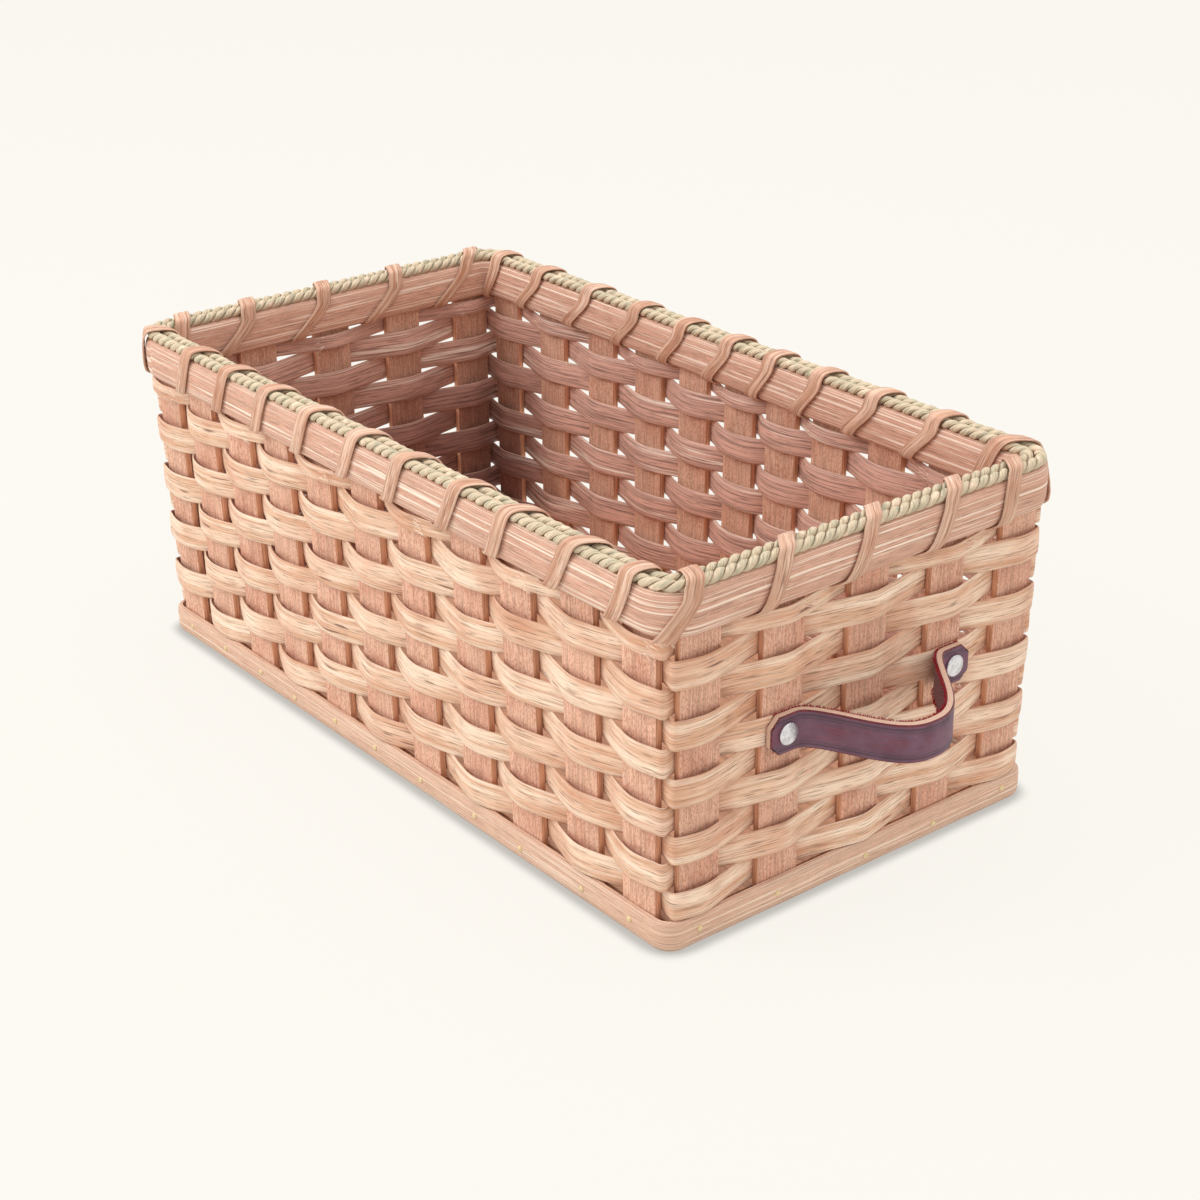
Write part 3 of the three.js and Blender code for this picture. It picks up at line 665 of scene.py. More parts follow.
def stake_reed(f, colours, face, inner):
    place = f.place()
    grain = f.noise(f.scaled(place, (1100, 1100, 60)), 1, 4)
    fleck = f.noise(f.scaled(place, (1900, 1900, 700)), 1, 2, 0.6)
    cloud = f.noise(place, 40, 2)
    base = f.mix(f.ramp(grain, 0.38, 0.66), face, dark_of(face, 0.7))
    base = f.mix(f.ramp(fleck, 0.5, 0.64, 0.75), base, colours.stake_fleck)
    base = f.mix(f.ramp(fleck, 0.42, 0.3, 0.45), base, PALE_FLECK)
    base = f.mix(f.ramp(cloud, 0.4, 0.7), base, STAKE_CLOUD, "MULTIPLY")
    if inner:
        base = f.inner_shade(base)
    return f.done(base, 0.7, f.bump(f.math("ADD", grain, fleck), 0.5, 0.0005), Specular_IOR_Level=0.3)


def stake_edge_finish(f, colours):
    grain = f.noise(f.scaled(f.place(), (1300, 1300, 40)), 1, 3)
    base = f.mix(f.ramp(grain, 0.35, 0.68), colours.stake_edge, dark_of(colours.stake_edge, 0.6))
    return f.done(base, 0.75, f.bump(grain, 0.4, 0.0004), Specular_IOR_Level=0.3)


def seagrass_finish(f, colours):
    run, girth = f.run_and_girth()
    reed = (run, f.times(girth, PLY_GIRTH))
    fine = f.grain(reed, 90, 2600)
    patch = f.grain(reed, 150, 500, 5.0, 2)
    base = f.mix(f.ramp(patch, 0.5, 0.66), colours.seagrass_light, colours.seagrass_green)
    base = f.mix(f.ramp(fine, 0.5, 0.7, 0.6), base, dark_of(colours.seagrass_light, 0.45))
    warm = f.noise(f.place(), 160, 1)
    base = f.mix(f.ramp(warm, 0.6, 0.7, 0.6), base, colours.weaver_light)
    # Painted shade on the side of each ply that faces the other ply, in the crevice between them
    ply_crevice_shade = f.times(f.ramp(girth, 0.2, 0.42), f.ramp(girth, 0.8, 0.58, 0.8))
    base = f.mix(ply_crevice_shade, base, dark_of(colours.stake_fleck, 0.14))
    return f.done(base, 0.6, f.bump(fine, 0.8, 0.0005), Specular_IOR_Level=0.4)


def board_finish(f, colours):
    place = f.place()
    grain = f.noise(f.scaled(place, (14, 260, 260)), 1, 5, 0.6, 0.3)
    pores = f.noise(f.scaled(place, (90, 1500, 1500)), 1, 2)
    base = f.mix(f.ramp(grain, 0.35, 0.68), colours.board, dark_of(colours.board, 0.62))
    base = f.mix(f.ramp(pores, 0.55, 0.7, 0.4), base, dark_of(colours.board, 0.45))
    return f.done(base, 0.6, f.bump(grain, 0.3, 0.0005), Specular_IOR_Level=0.35)


def leather_finish(f, colours):
    """Waxed leather; the strap's UV map holds metres along it and metres from its middle."""
    leather = f.run_and_girth()
    pebble = f.noise(f.place(), 1500, 3)
    crease = f.grain(leather, 60, 900)
    cloud = f.noise(f.place(), 90, 3)
    from_edge = f.math("SUBTRACT", settings("handle").width / 2, f.math("ABSOLUTE", leather[1]))
    tooled = f.math("MAXIMUM", *(tooled_line(f, from_edge, *line) for line in TOOLED_LINES))
    base = f.mix(f.ramp(cloud, 0.35, 0.7), colours.leather, dark_of(colours.leather, 0.7))
    base = f.mix(f.ramp(crease, 0.5, 0.7, 0.16), base, colours.leather_dye)
    middle = f.times(f.ramp(from_edge, 0.003, 0.008), f.ramp(cloud, 0.38, 0.7, 0.13))
    base = f.mix(middle, base, colours.leather_dye)
    scratch = f.grain(leather, 300, 1500, 4.0)
    base = f.mix(f.ramp(scratch, 0.56, 0.8, 0.16), base, LEATHER_SCRATCH)
    base = f.mix(f.times(tooled, 0.7), base, dark_of(colours.leather, 0.35))
    height = f.math("SUBTRACT", f.times(f.math("ADD", pebble, crease), 0.25), tooled)
    return f.done(base, f.ramp(cloud, -0.9, 1.6), f.bump(height, 0.5, 0.0005), Specular_IOR_Level=0.5,
                  Coat_Weight=0.15, Coat_Roughness=0.35)


def tooled_line(f, from_edge, inset, half_width, soft_half_width, depth):
    away = f.math("ABSOLUTE", f.math("SUBTRACT", from_edge, inset))
    return f.ramp(away, soft_half_width, half_width, depth)


def leather_edge_finish(f, colours):
    grain = f.noise(f.place(), 2200, 3)
    base = f.mix(f.ramp(grain, 0.35, 0.7), colours.leather_edge, dark_of(colours.leather_edge, 0.8))
    return f.done(base, 0.8, f.bump(grain, 0.5, 0.0004), Specular_IOR_Level=0.25)


def leather_back_finish(f, colours):
    nap = f.noise(f.place(), 1800, 4, 0.7)
    base = f.mix(f.ramp(nap, 0.3, 0.56), colours.leather_dye, dark_of(colours.leather_dye, 0.25))
    return f.done(base, 0.95, f.bump(nap, 1.0, 0.0009), Specular_IOR_Level=0.15, Sheen_Weight=0.3,
                  Sheen_Roughness=0.6)


def leather_fuzz_finish(f, colours):
    tuft = f.noise(f.place(), 700, 2)
    base = f.mix(f.ramp(tuft, 0.4, 0.62), colours.leather_dye, dark_of(colours.leather_dye, 0.6))
    return f.done(base, 0.9, f.bump(tuft, 0.2, 0.0002), Specular_IOR_Level=0.15)


def metal_finish(f, colours):
    tumble = f.noise(f.place(), 1300, 3, 0.6)
    cloud = f.noise(f.place(), 420, 2)
    base = f.mix(f.ramp(cloud, 0.4, 0.66), colours.metal, dark_of(colours.metal, 0.72))
    return f.done(base, f.ramp(tumble, -0.2, 1.7), f.bump(tumble, 0.5, 0.0004), Metallic=0.85)


def brass_finish(f, colours):
    wear = f.noise(f.place(), 2600, 2)
    base = f.mix(f.ramp(wear, 0.4, 0.65), colours.brass, dark_of(colours.brass, 0.6))
    return f.done(base, f.ramp(wear, -0.4, 1.6), f.bump(wear, 0.3, 0.0002), Metallic=0.2)


def paper_finish(f, colours):
    """Paper that glows in its own colour and darkens only close to what stands on it."""
    open_sky = f.node("ShaderNodeAmbientOcclusion", {"Distance": CONTACT_REACH}, samples=16).outputs["AO"]
    glow = f.mix(f.ramp(open_sky, 0.5, 0.98), CONTACT_SHADE, colours.ground)
    return f.done(dark_of(colours.ground, 0.07), 1.0, Specular_IOR_Level=0.0, Emission_Color=glow,
                  Emission_Strength=PAPER_GLOW)


# Operators, one for each group of like pieces

class BASKET_OT_board(bpy.types.Operator):
    """Give the base board its wood"""
    bl_idname = "basket.board"
    bl_label = "Base Board"
    bl_options = {"REGISTER", "UNDO"}

    def execute(self, context):
        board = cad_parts["base_board"]
        board.data.materials.clear()
        board.data.materials.append(keep_finish("Board wood", board_finish))
        return {"FINISHED"}


# Distance from one station of a band to the next
BAND_STEP = 0.0015
# How far a tack may be off its place, along the band and up, and how flat its head is
TACK_SHIFT = 0.003
TACK_RISE = 0.0012
TACK_FLATNESS = 0.45


class BASKET_OT_base_band(bpy.types.Operator):
    """Bend the base band round the foot and drive its tacks"""
    bl_idname = "basket.base_band"
    bl_label = "Base Band and Tacks"
    bl_options = {"REGISTER", "UNDO"}

    def execute(self, context):
        rim = settings("rim")
        inner = rim.band_reach - rim.band_thickness
        section = half_round(inner, rim.band_reach, 0, rim.band_height, points=10)
        bm = bmesh.new()
        strip(bm, band_stations(section, wobble=0.00015, seed=0.0), section, closed=True, start=3.0)
        finish_piece("base_band_reed", bm, [keep_finish("Band reed", base_band_finish)],
                     ["base_band"])
        self.tacks()
        return {"FINISHED"}

    def tacks(self):
        rim = settings("rim")
        rng = random.Random(5)
        bm = bmesh.new()
        for stake in stakes():
            z = rim.band_height / 2 + rng.uniform(-TACK_RISE, TACK_RISE)
            along = stake_along(stake, z) + rng.uniform(-TACK_SHIFT, TACK_SHIFT)
            point = side_point(stake[0], along, rim.band_reach + 0.0001, z)
            head = bmesh.ops.create_icosphere(bm, subdivisions=2, radius=rim.tack_radius)["verts"]
            move(bm, head, point, facing(stake[0].out) @ Matrix.Diagonal((1, 1, TACK_FLATNESS, 1)))
        finish_piece("base_tacks", bm, [keep_finish("Tack brass", brass_finish)])


def band_stations(section, wobble, seed):
    """Stations of a closed band round the wall; the section's own heights and distances place it."""
    middle = sum(height for height, _ in section) / len(section)
    half = wall_half(middle)
    corner = corner_at(middle)
    total = loop_length(half, corner)
    count = round(total / BAND_STEP)
    lean = wall_lean()
    row = []
    for index in range(count):
        point, out = loop_place(half, corner, total * index / count)
        across = (UP + out * lean).normalized()
        sway = noise.noise(point * 40 + Vector((0, 0, seed))) * wobble
        row.append((point + out * (sway - lean * middle), across, out, (1, 1)))
    return row


# How far below the rim bands' upper edge the stakes end, how their widths vary, and their edges' radius
STAKE_TOP_DROP = 0.0016
STAKE_WIDTHS = (-0.0004, 0.0003)
STAKE_ROUNDING = 0.00035


class BASKET_OT_stakes(bpy.types.Operator):
    """Cut the upright reeds"""
    bl_idname = "basket.stakes"
    bl_label = "Stakes"
    bl_options = {"REGISTER", "UNDO"}

    def execute(self, context):
        weave, rim = settings("weave"), settings("rim")
        rng = random.Random(11)
        top = rim.rim_bottom + rim.rim_height - STAKE_TOP_DROP
        for stake in stakes():
            side, place, _ = stake
            low = side_point(side, stake_along(stake, weave.stake_foot), 0, weave.stake_foot)
            high = side_point(side, stake_along(stake, top), 0, top)
            width = ODD_WIDTHS.get((side.name, place), weave.stake_width + rng.uniform(*STAKE_WIDTHS))
            self.stake("%s_%d" % (side.name, place + 1), side, low, high, width)
        return {"FINISHED"}

    def stake(self, name, side, low, high, width):
        up = high - low
        size = up.length
        up.normalize()
        out = side.along.cross(up).normalized()
        bm = bmesh.new()
        bmesh.ops.create_cube(bm, size=1)
        bmesh.ops.scale(bm, vec=(width, settings("weave").stake_thickness, size), verts=bm.verts)
        for face in bm.faces:
            face.material_index = 1 if abs(face.normal.x) > 0.5 else 2 if face.normal.y > 0.5 else 0
        uprights = [edge for edge in bm.edges
                    if abs((edge.verts[0].co - edge.verts[1].co).normalized().z) > 0.9]
        bmesh.ops.bevel(bm, geom=uprights, offset=STAKE_ROUNDING, offset_type="OFFSET", segments=2,
                        profile=0.5, affect="EDGES", material=-1)
        move(bm, bm.verts, (low + high) / 2, turn_to(up.cross(out), -out, up))
        bmesh.ops.recalc_face_normals(bm, faces=bm.faces)
        faces = [keep_finish("Stake reed", stake_finish), keep_finish("Stake edge", stake_edge_finish),
                 keep_finish("Stake back", stake_back_finish)]
        finish_piece("upright_" + name, bm, faces, ["stake_" + name], sharp=30)


# How a weaver strays from its line: up and down, in its tilt and in its share of width, and how often
WEAVER_LIFT = 0.0004
WEAVER_TILT = 0.06
WEAVER_SWELL = 0.03
WEAVER_STRAY = 21
# What makes the strays of its tilt and of its width, those of each row, and each row's grain differ
TILT_SHIFT = Vector((7, 3, 1))
SWELL_SCALE = 1.7
ROW_STRAY_SHIFT = 3.1
ROW_GRAIN_SHIFT = 2.7
# How far past the wall's corner a weaver goes, and how far out of the wall it is there, both in its
# reach at a stake's edge
CORNER_PAST_OUTSIDE = -0.6
CORNER_PAST_INSIDE = 0.45
CORNER_OUT = 0.5
# Stations from one of its waypoints to the next
WEAVER_STEPS = 5


class BASKET_OT_weavers(bpy.types.Operator):
    """Weave the rows over and under the stakes"""
    bl_idname = "basket.weavers"
    bl_label = "Weavers"
    bl_options = {"REGISTER", "UNDO"}

    def execute(self, context):
        weave = settings("weave")
        finish = keep_finish("Weaver reed", weaver_finish)
        for row in range(1, weave.rows + 2):
            narrow = row > weave.rows
            width = weave.rim_row_width if narrow else weave.weaver_width
            bottom = weave.rim_row_bottom if narrow else weave.row_bottom + (row - 1) * weave.row_pitch
            middle = bottom + width / 2 if narrow else bottom + weave.row_pitch / 2
            section = oval(width, weave.weaver_thickness, points=16, square=0.7)
            bm = bmesh.new()
            strip(bm, self.stations(row, middle), section, closed=True, start=row * ROW_GRAIN_SHIFT)
            node = "weaver_rim_row" if narrow else "weaver_row_%d" % row
            finish_piece("reed_" + node, bm, [finish], [node])
        return {"FINISHED"}

    def waypoints(self, row, z):
        """Points over or under each stake's middle and edges, and one at each corner."""
        weave = settings("weave")
        edge = weave.stake_width / 2
        around = stakes()
        points = []
        for number, stake in enumerate(around):
            side = stake[0]
            sign = side_of_weaver(number, row)
            along = stake_along(stake, z)
            crown = weave.edge_reach + (0.0 if is_handle_seat(row, stake) else weave.bulge)
            points += [side_point(side, along - edge, sign * weave.edge_reach, z),
                       side_point(side, along, sign * crown, z),
                       side_point(side, along + edge, sign * weave.edge_reach, z)]
            if around[(number + 1) % len(around)][0] is not side:
                past = weave.edge_reach * (CORNER_PAST_OUTSIDE if sign > 0 else CORNER_PAST_INSIDE)
                out = sign * weave.edge_reach * CORNER_OUT
                points.append(side_point(side, reach(side, z)[0] + past, out, z))
        return points

    def stations(self, row, z):
        line = smooth_line(self.waypoints(row, z), WEAVER_STEPS, True)
        lean = wall_lean()
        stations = []
        for index, point in enumerate(line):
            heading = (line[(index + 1) % len(line)] - line[index - 1]).normalized()
            out = heading.cross(UP)
            across = (UP + out * lean).normalized()
            here = point * WEAVER_STRAY + UP * (row * ROW_STRAY_SHIFT)
            lift = WEAVER_LIFT * noise.noise(here)
            tilt = WEAVER_TILT * noise.noise(here + TILT_SHIFT)
            across = (across + out * tilt).normalized()
            swell = 1 + WEAVER_SWELL * noise.noise(here * SWELL_SCALE)
            stations.append((point + UP * lift, across, out, (swell, 1)))
        return stations


def side_of_weaver(number, row):
    """1 where a row passes outside the stake of that number, -1 where it passes inside."""
    return 1 if (number + row) % 2 == 0 else -1


def is_handle_seat(row, stake):
    """Whether the strap is riveted on through this row over this stake."""
    side, place, count = stake
    return side is HANDLE_SIDE and row == handle_row() and place in (1, count - 2)


def handle_row():
    """Number of the row that passes 2 mm above the strap's middle line."""
    weave = settings("weave")
    return round((settings("handle").height + 0.002 - weave.row_bottom) / weave.row_pitch + 0.5)


# Frays where the narrow row passes outside and inside a stake, and their size
FRAYS_OUTSIDE = 14
FRAYS_INSIDE = 7
FRAY_LENGTH = 0.0052
FRAY_THICKNESS = 0.00016
# Their roots' distances past the stake's middle, and how far off the reed's middle they are
FRAY_SHIFTS = (0.004, 0.0125)
FRAY_OFF = 0.0016
# How far they point along the wall and down, against a fibre's own lean
FRAY_ALONG = 2
FRAY_DROOP = 0.25
# Stray fibres all round the rim and where the lashing starts at the near corner, and their size
STRAYS_ROUND = 70
STRAYS_AT_START = 26
STRAY_LENGTH = 0.0029
STRAY_THICKNESS = 0.0001
# Their roots: off the bands' faces, past a gap's middle or past the corner's stake in pitches, and above
# the bands' lower edge
STRAY_OFF = 0.001
STRAY_SHIFTS = (0.1, 0.5)
START_SHIFTS = (0.44, 0.58)
STRAY_HEIGHTS = (0.003, 0.016)
# How far they point along the rim for a unit up, and at the start for the droop there
STRAY_ALONG = (-0.5, 0.9)
START_ALONG = (-0.8, 0.8)
START_DROOP = 1.4


class BASKET_OT_frays(bpy.types.Operator):
    """Fray the narrow row where it slips under the rim, and lift stray fibres off the lashing"""
    bl_idname = "basket.frays"
    bl_label = "Frayed Fibres"
    bl_options = {"REGISTER", "UNDO"}

    def execute(self, context):
        finish = keep_finish("Fibre", fibre_finish)
        rng = random.Random(23)
        bm = bmesh.new()
        hairs(bm, self.fray_roots(rng), FRAY_LENGTH, FRAY_THICKNESS, rng)
        finish_piece("row_frays", bm, [finish])
        bm = bmesh.new()
        hairs(bm, self.stray_roots(rng), STRAY_LENGTH, STRAY_THICKNESS, rng)
        finish_piece("stray_fibres", bm, [finish])
        return {"FINISHED"}

    def fray_roots(self, rng):
        weave = settings("weave")
        roots = []
        for number, stake in enumerate(stakes()):
            sign = side_of_weaver(number, weave.rows + 1)
            for _ in range(FRAYS_OUTSIDE if sign > 0 else FRAYS_INSIDE):
                z = weave.rim_row_bottom + rng.uniform(0.0005, weave.rim_row_width)
                along = stake_along(stake, z) + rng.uniform(*FRAY_SHIFTS)
                point = side_point(stake[0], along, sign * (weave.edge_reach + FRAY_OFF), z)
                roots.append((point, stake[0].along * FRAY_ALONG - UP * FRAY_DROOP))
        return roots

    def stray_roots(self, rng):
        rim = settings("rim")
        face = rim.rim_reach + STRAY_OFF
        roots = []
        for _ in range(STRAYS_ROUND):
            number = rng.randrange(len(stakes())) + 0.5 + rng.uniform(*STRAY_SHIFTS)
            point, along = round_place(number, face, rim.rim_bottom + rng.uniform(*STRAY_HEIGHTS))
            roots.append((point, UP + along * rng.uniform(*STRAY_ALONG)))
        corner_stake = settings("wall").long_stakes - 1
        for _ in range(STRAYS_AT_START):
            point, along = round_place(corner_stake + rng.uniform(*START_SHIFTS), face, rim.rim_bottom)
            roots.append((point, along * rng.uniform(*START_ALONG) - UP * START_DROOP))
        return roots


class BASKET_OT_rim_bands(bpy.types.Operator):
    """Bend the outer and the inner rim band"""
    bl_idname = "basket.rim_bands"
    bl_label = "Rim Bands"
    bl_options = {"REGISTER", "UNDO"}

    def execute(self, context):
        rim = settings("rim")
        finish = keep_finish("Rim reed", rim_finish)
        top = rim.rim_bottom + rim.rim_height
        inner = rim.rim_reach - rim.rim_thickness
        section = half_round(inner, rim.rim_reach, rim.rim_bottom, top, points=14)
        for name, sign in (("outer", 1), ("inner", -1)):
            line = [(height, sign * distance) for height, distance in section]
            stations = band_stations(line, wobble=0.0003, seed=2.0 + sign)
            bm = bmesh.new()
            strip(bm, stations, line, closed=True, start=6.0 + sign)
            finish_piece("rim_reed_" + name, bm, [finish], ["rim_band_" + name])
        return {"FINISHED"}


# Stations in one twist of a cord and points round a ply
TWIST_STEPS = 14
PLY_POINTS = 8
# A ply's distance from the cord's middle in its radii, how that wanders, and how far a cord sags
PLY_SPREAD = 0.82
PLY_WANDER = 0.08
CORD_SAG = 0.0003
# A ply's thickness towards the cord's middle and across that, in its own size, and how both wander
PLY_THICKNESS = (0.94, 1.12)
PLY_SWELL = 0.1


class BASKET_OT_cords(bpy.types.Operator):
    """Twist the two seagrass cords along the top of the rim"""
    bl_idname = "basket.cords"
    bl_label = "Seagrass Cords"
    bl_options = {"REGISTER", "UNDO"}

    def execute(self, context):
        radius = settings("rim").ply_radius
        finish = keep_finish("Seagrass", seagrass_finish)
        turns = [2 * math.pi * k / PLY_POINTS for k in range(PLY_POINTS)]
        section = [(radius * math.cos(turn), radius * math.sin(turn)) for turn in turns]
        for name, sign in (("outer", 1), ("inner", -1)):
            bm = bmesh.new()
            for ply in range(2):
                strip(bm, self.stations(sign, ply), section, closed=True, start=4.0 * ply + sign)
            finish_piece("twisted_cord_" + name, bm, [finish], ["seagrass_cord_" + name])
        return {"FINISHED"}

    def centres(self, sign, ply):
        """Each station's middle, its direction from the cord's middle, and how far it wanders there."""
        rim = settings("rim")
        half = tuple(size + sign * rim.cord_reach for size in wall_half(rim.cord_height))
        corner = corner_at(rim.cord_height) + sign * rim.cord_reach
        total = loop_length(half, corner)
        count = round(total / rim.cord_lay) * TWIST_STEPS
        centres = []
        for index in range(count):
            point, out = loop_place(half, corner, total * index / count)
            angle = 2 * math.pi * index / TWIST_STEPS + ply * math.pi + sign
            wander = noise.noise(Vector((index / TWIST_STEPS * 0.7, sign * 5, ply * 3)))
            radial = out * math.cos(angle) + UP * math.sin(angle)
            spread = rim.ply_radius * (PLY_SPREAD + PLY_WANDER * wander)
            sag = CORD_SAG * noise.noise(point * 60)
            centres.append((point + UP * (rim.cord_height + sag) + radial * spread, radial, wander))
        return centres

    def stations(self, sign, ply):
        centres = self.centres(sign, ply)
        row = []
        for index, (centre, radial, wander) in enumerate(centres):
            heading = (centres[(index + 1) % len(centres)][0] - centres[index - 1][0]).normalized()
            side = heading.cross(radial).normalized()
            scale = tuple(thickness + PLY_SWELL * wander for thickness in PLY_THICKNESS)
            row.append((centre, side.cross(heading), side, scale))
        return row


# How far along its pitch a lashing turn has come on each side: low and high outside, high and low inside
LASH_SHARES = {"front": (0.27, 0.47, 0.86, 0.97), "right": (0.19, 0.35, 0.7, 0.95),
               "back": (0.1, 0.46, 0.68, 1.02), "left": (0.1, 0.48, 0.66, 1.0)}
LASH_SHARES_FROM_CORNER = {"front": (0, 0.07, 0.58, 0.95), "right": (0.02, 0.24, 0.5, 0.95),
                           "back": (0.06, 0.25, 0.75, 0.9), "left": (0.08, 0.22, 0.66, 1.0)}
LASH_SHARES_TO_CORNER = {"front": (0.24, 0.42, 0.55, 0.9), "right": (0.13, 0.2, 0.5, 0.9),
                         "back": (0.06, 0.4, 0.6, 0.9), "left": (0.1, 0.3, 0.5, 0.9)}
# Gaps that the lashing keeps to the bands and to the cords
LASH_BAND_GAP = 0.0002
LASH_CORD_GAP = 0.00005
# Where it leaves the bands' faces, from their lower and from their upper edge
LASH_LOW = 0.0018
LASH_HIGH = 0.003
# How far below the bands it passes, and how far in from their faces
LASH_BENEATH = 0.0005
LASH_UNDER = 0.0022
# Share of its first shift that a turn has made beneath the bands
LASH_START = 0.4
# Share of its way over the rim that a turn makes at each step round a cord
LASH_OVER = 0.12
# Its width beneath a corner and how far it draws in there
LASH_CORNER_WIDTH = 0.0030
LASH_CORNER_INSET = 0.0012
# Its loose start's place past the corner's stake in pitches, off the band's face and below it, and its width
# in usual widths
LASH_TAIL_SHIFT = 0.47
LASH_TAIL_OFF = 0.0006
LASH_TAIL_BELOW = 0.001
LASH_TAIL_WIDTH = 1.15
# Stations from one of its places to the next
LASH_STEPS = 4


class BASKET_OT_lashing(bpy.types.Operator):
    """Wind the lashing reed round the rim, one turn for each gap between stakes"""
    bl_idname = "basket.lashing"
    bl_label = "Rim Lashing"
    bl_options = {"REGISTER", "UNDO"}

    def execute(self, context):
        rim = settings("rim")
        places = self.places()
        points = smooth_line([place[0] for place in places], LASH_STEPS, False)
        row = []
        for index, point in enumerate(points):
            whole, step = divmod(index, LASH_STEPS)
            first, second = places[whole], places[min(whole + 1, len(places) - 1)]
            along = first[1].lerp(second[1], step / LASH_STEPS).normalized()
            width = first[2] + (second[2] - first[2]) * step / LASH_STEPS
            ahead = points[min(index + 1, len(points) - 1)] - points[max(index - 1, 0)]
            out = along.cross(ahead).normalized()
            row.append((point, along, out, (width / rim.lash_width, 1)))
        bm = bmesh.new()
        section = oval(rim.lash_width, rim.lash_thickness, points=14, square=0.6)
        strip(bm, row, section, closed=False, start=0.5)
        finish_piece("lashing_reed", bm, [keep_finish("Lashing reed", lash_finish)],
                     ["rim_lashing"])
        return {"FINISHED"}

    def turn(self, start, left, arrived, end):
        """One turn as (share of the way to the next gap, distance out, height, narrow, inside)."""
        rim = settings("rim")
        over_top = (arrived - left) * LASH_OVER
        face = rim.rim_reach + LASH_BAND_GAP + rim.lash_thickness / 2
        under = rim.rim_reach - LASH_UNDER
        low, high = rim.rim_bottom + LASH_LOW, rim.rim_bottom + rim.rim_height - LASH_HIGH
        beneath = rim.rim_bottom - LASH_BENEATH
        over = 2 * rim.ply_radius + rim.lash_thickness / 2 + LASH_CORD_GAP
        outer = [(left + over_top * (step + 1), rim.cord_reach + over * math.cos(step * math.pi / 4),
                  rim.cord_height + over * math.sin(step * math.pi / 4)) for step in range(3)]
        inner = [(left + arrived - amount, -offset, z) for amount, offset, z in reversed(outer)]
        places = [(start * LASH_START, under, beneath, True, False), (start, face, low, False, False),
                  (left, face, high, False, False)]
        places += [(*place, False, False) for place in outer + inner]
        places += [(arrived, -face, high, False, False), (end, -face, low, True, True),
                   (1.0, -under, beneath, True, True)]
        return places

    def at_corner(self, gap):
        around = stakes()
        return around[gap % len(around)][0] is not around[(gap + 1) % len(around)][0]

    def shares(self, gap):
        """Shares of the turn that starts in a gap, by the side of the stake after it."""
        around = stakes()
        side = around[(gap + 1) % len(around)][0]
        if self.at_corner(gap):
            return LASH_SHARES_FROM_CORNER[side.name]
        if self.at_corner(gap + 1):
            return LASH_SHARES_TO_CORNER[side.name]
        return LASH_SHARES[side.name]

    def places(self):
        """Every place of the lashing's middle as (point, direction of the rim, width)."""
        rim = settings("rim")
        first = settings("wall").long_stakes - 1
        found = []
        for gap in range(first, first + len(stakes())):
            for amount, offset, z, narrow, inside in self.turn(*self.shares(gap)):
                corner = self.at_corner(gap + 1 if inside else gap)
                width = LASH_CORNER_WIDTH if corner and narrow else rim.lash_width
                inset = LASH_CORNER_INSET if corner and inside else 0
                amount = 1.0 if corner and inside else amount
                point, along = round_place(gap + 0.5 + amount, offset - inset, z)
                found.append((point, along, width))
        tail = round_place(first + LASH_TAIL_SHIFT, rim.rim_reach + LASH_TAIL_OFF,
                           rim.rim_bottom - LASH_TAIL_BELOW)
        return [(*tail, rim.lash_width * LASH_TAIL_WIDTH)] + found[1:-1]


# Points along the strap's bow, and the faces along and across its leather
BOW_STEPS = 64
STRAP_FACES = (120, 10)
STRAP_ROUNDING = 0.0006
# How the sag grows with the distance from the wall
SAG_POWER = 1.2
# Fuzz on the back's border: how near to the back and to the edge it grows, and its hairs at each point
FUZZ_DEPTH = 0.0002
FUZZ_BORDER = 0.0009
FUZZ_HAIRS = 4
# How far a hair is off its point, and its size
FUZZ_SHIFT = 0.0008
FUZZ_LENGTH = 0.0011
FUZZ_THICKNESS = 0.0002
# A rivet cap's profile in shares of its radius and height, and the steps of its dome and round it
CAP_SHOULDER = 0.3
CAP_LIP = ((0.985, 0.12), (0.93, 0))
DOME_STEPS = 8
CAP_STEPS = 36
# Gaps from the outer cap to the leather and from the inner cap to the reed
CAP_GAP = 0.0001
INNER_CAP_GAP = 0.0003
# How far the post goes into the inner cap, in cap heights
POST_INSIDE = 0.6


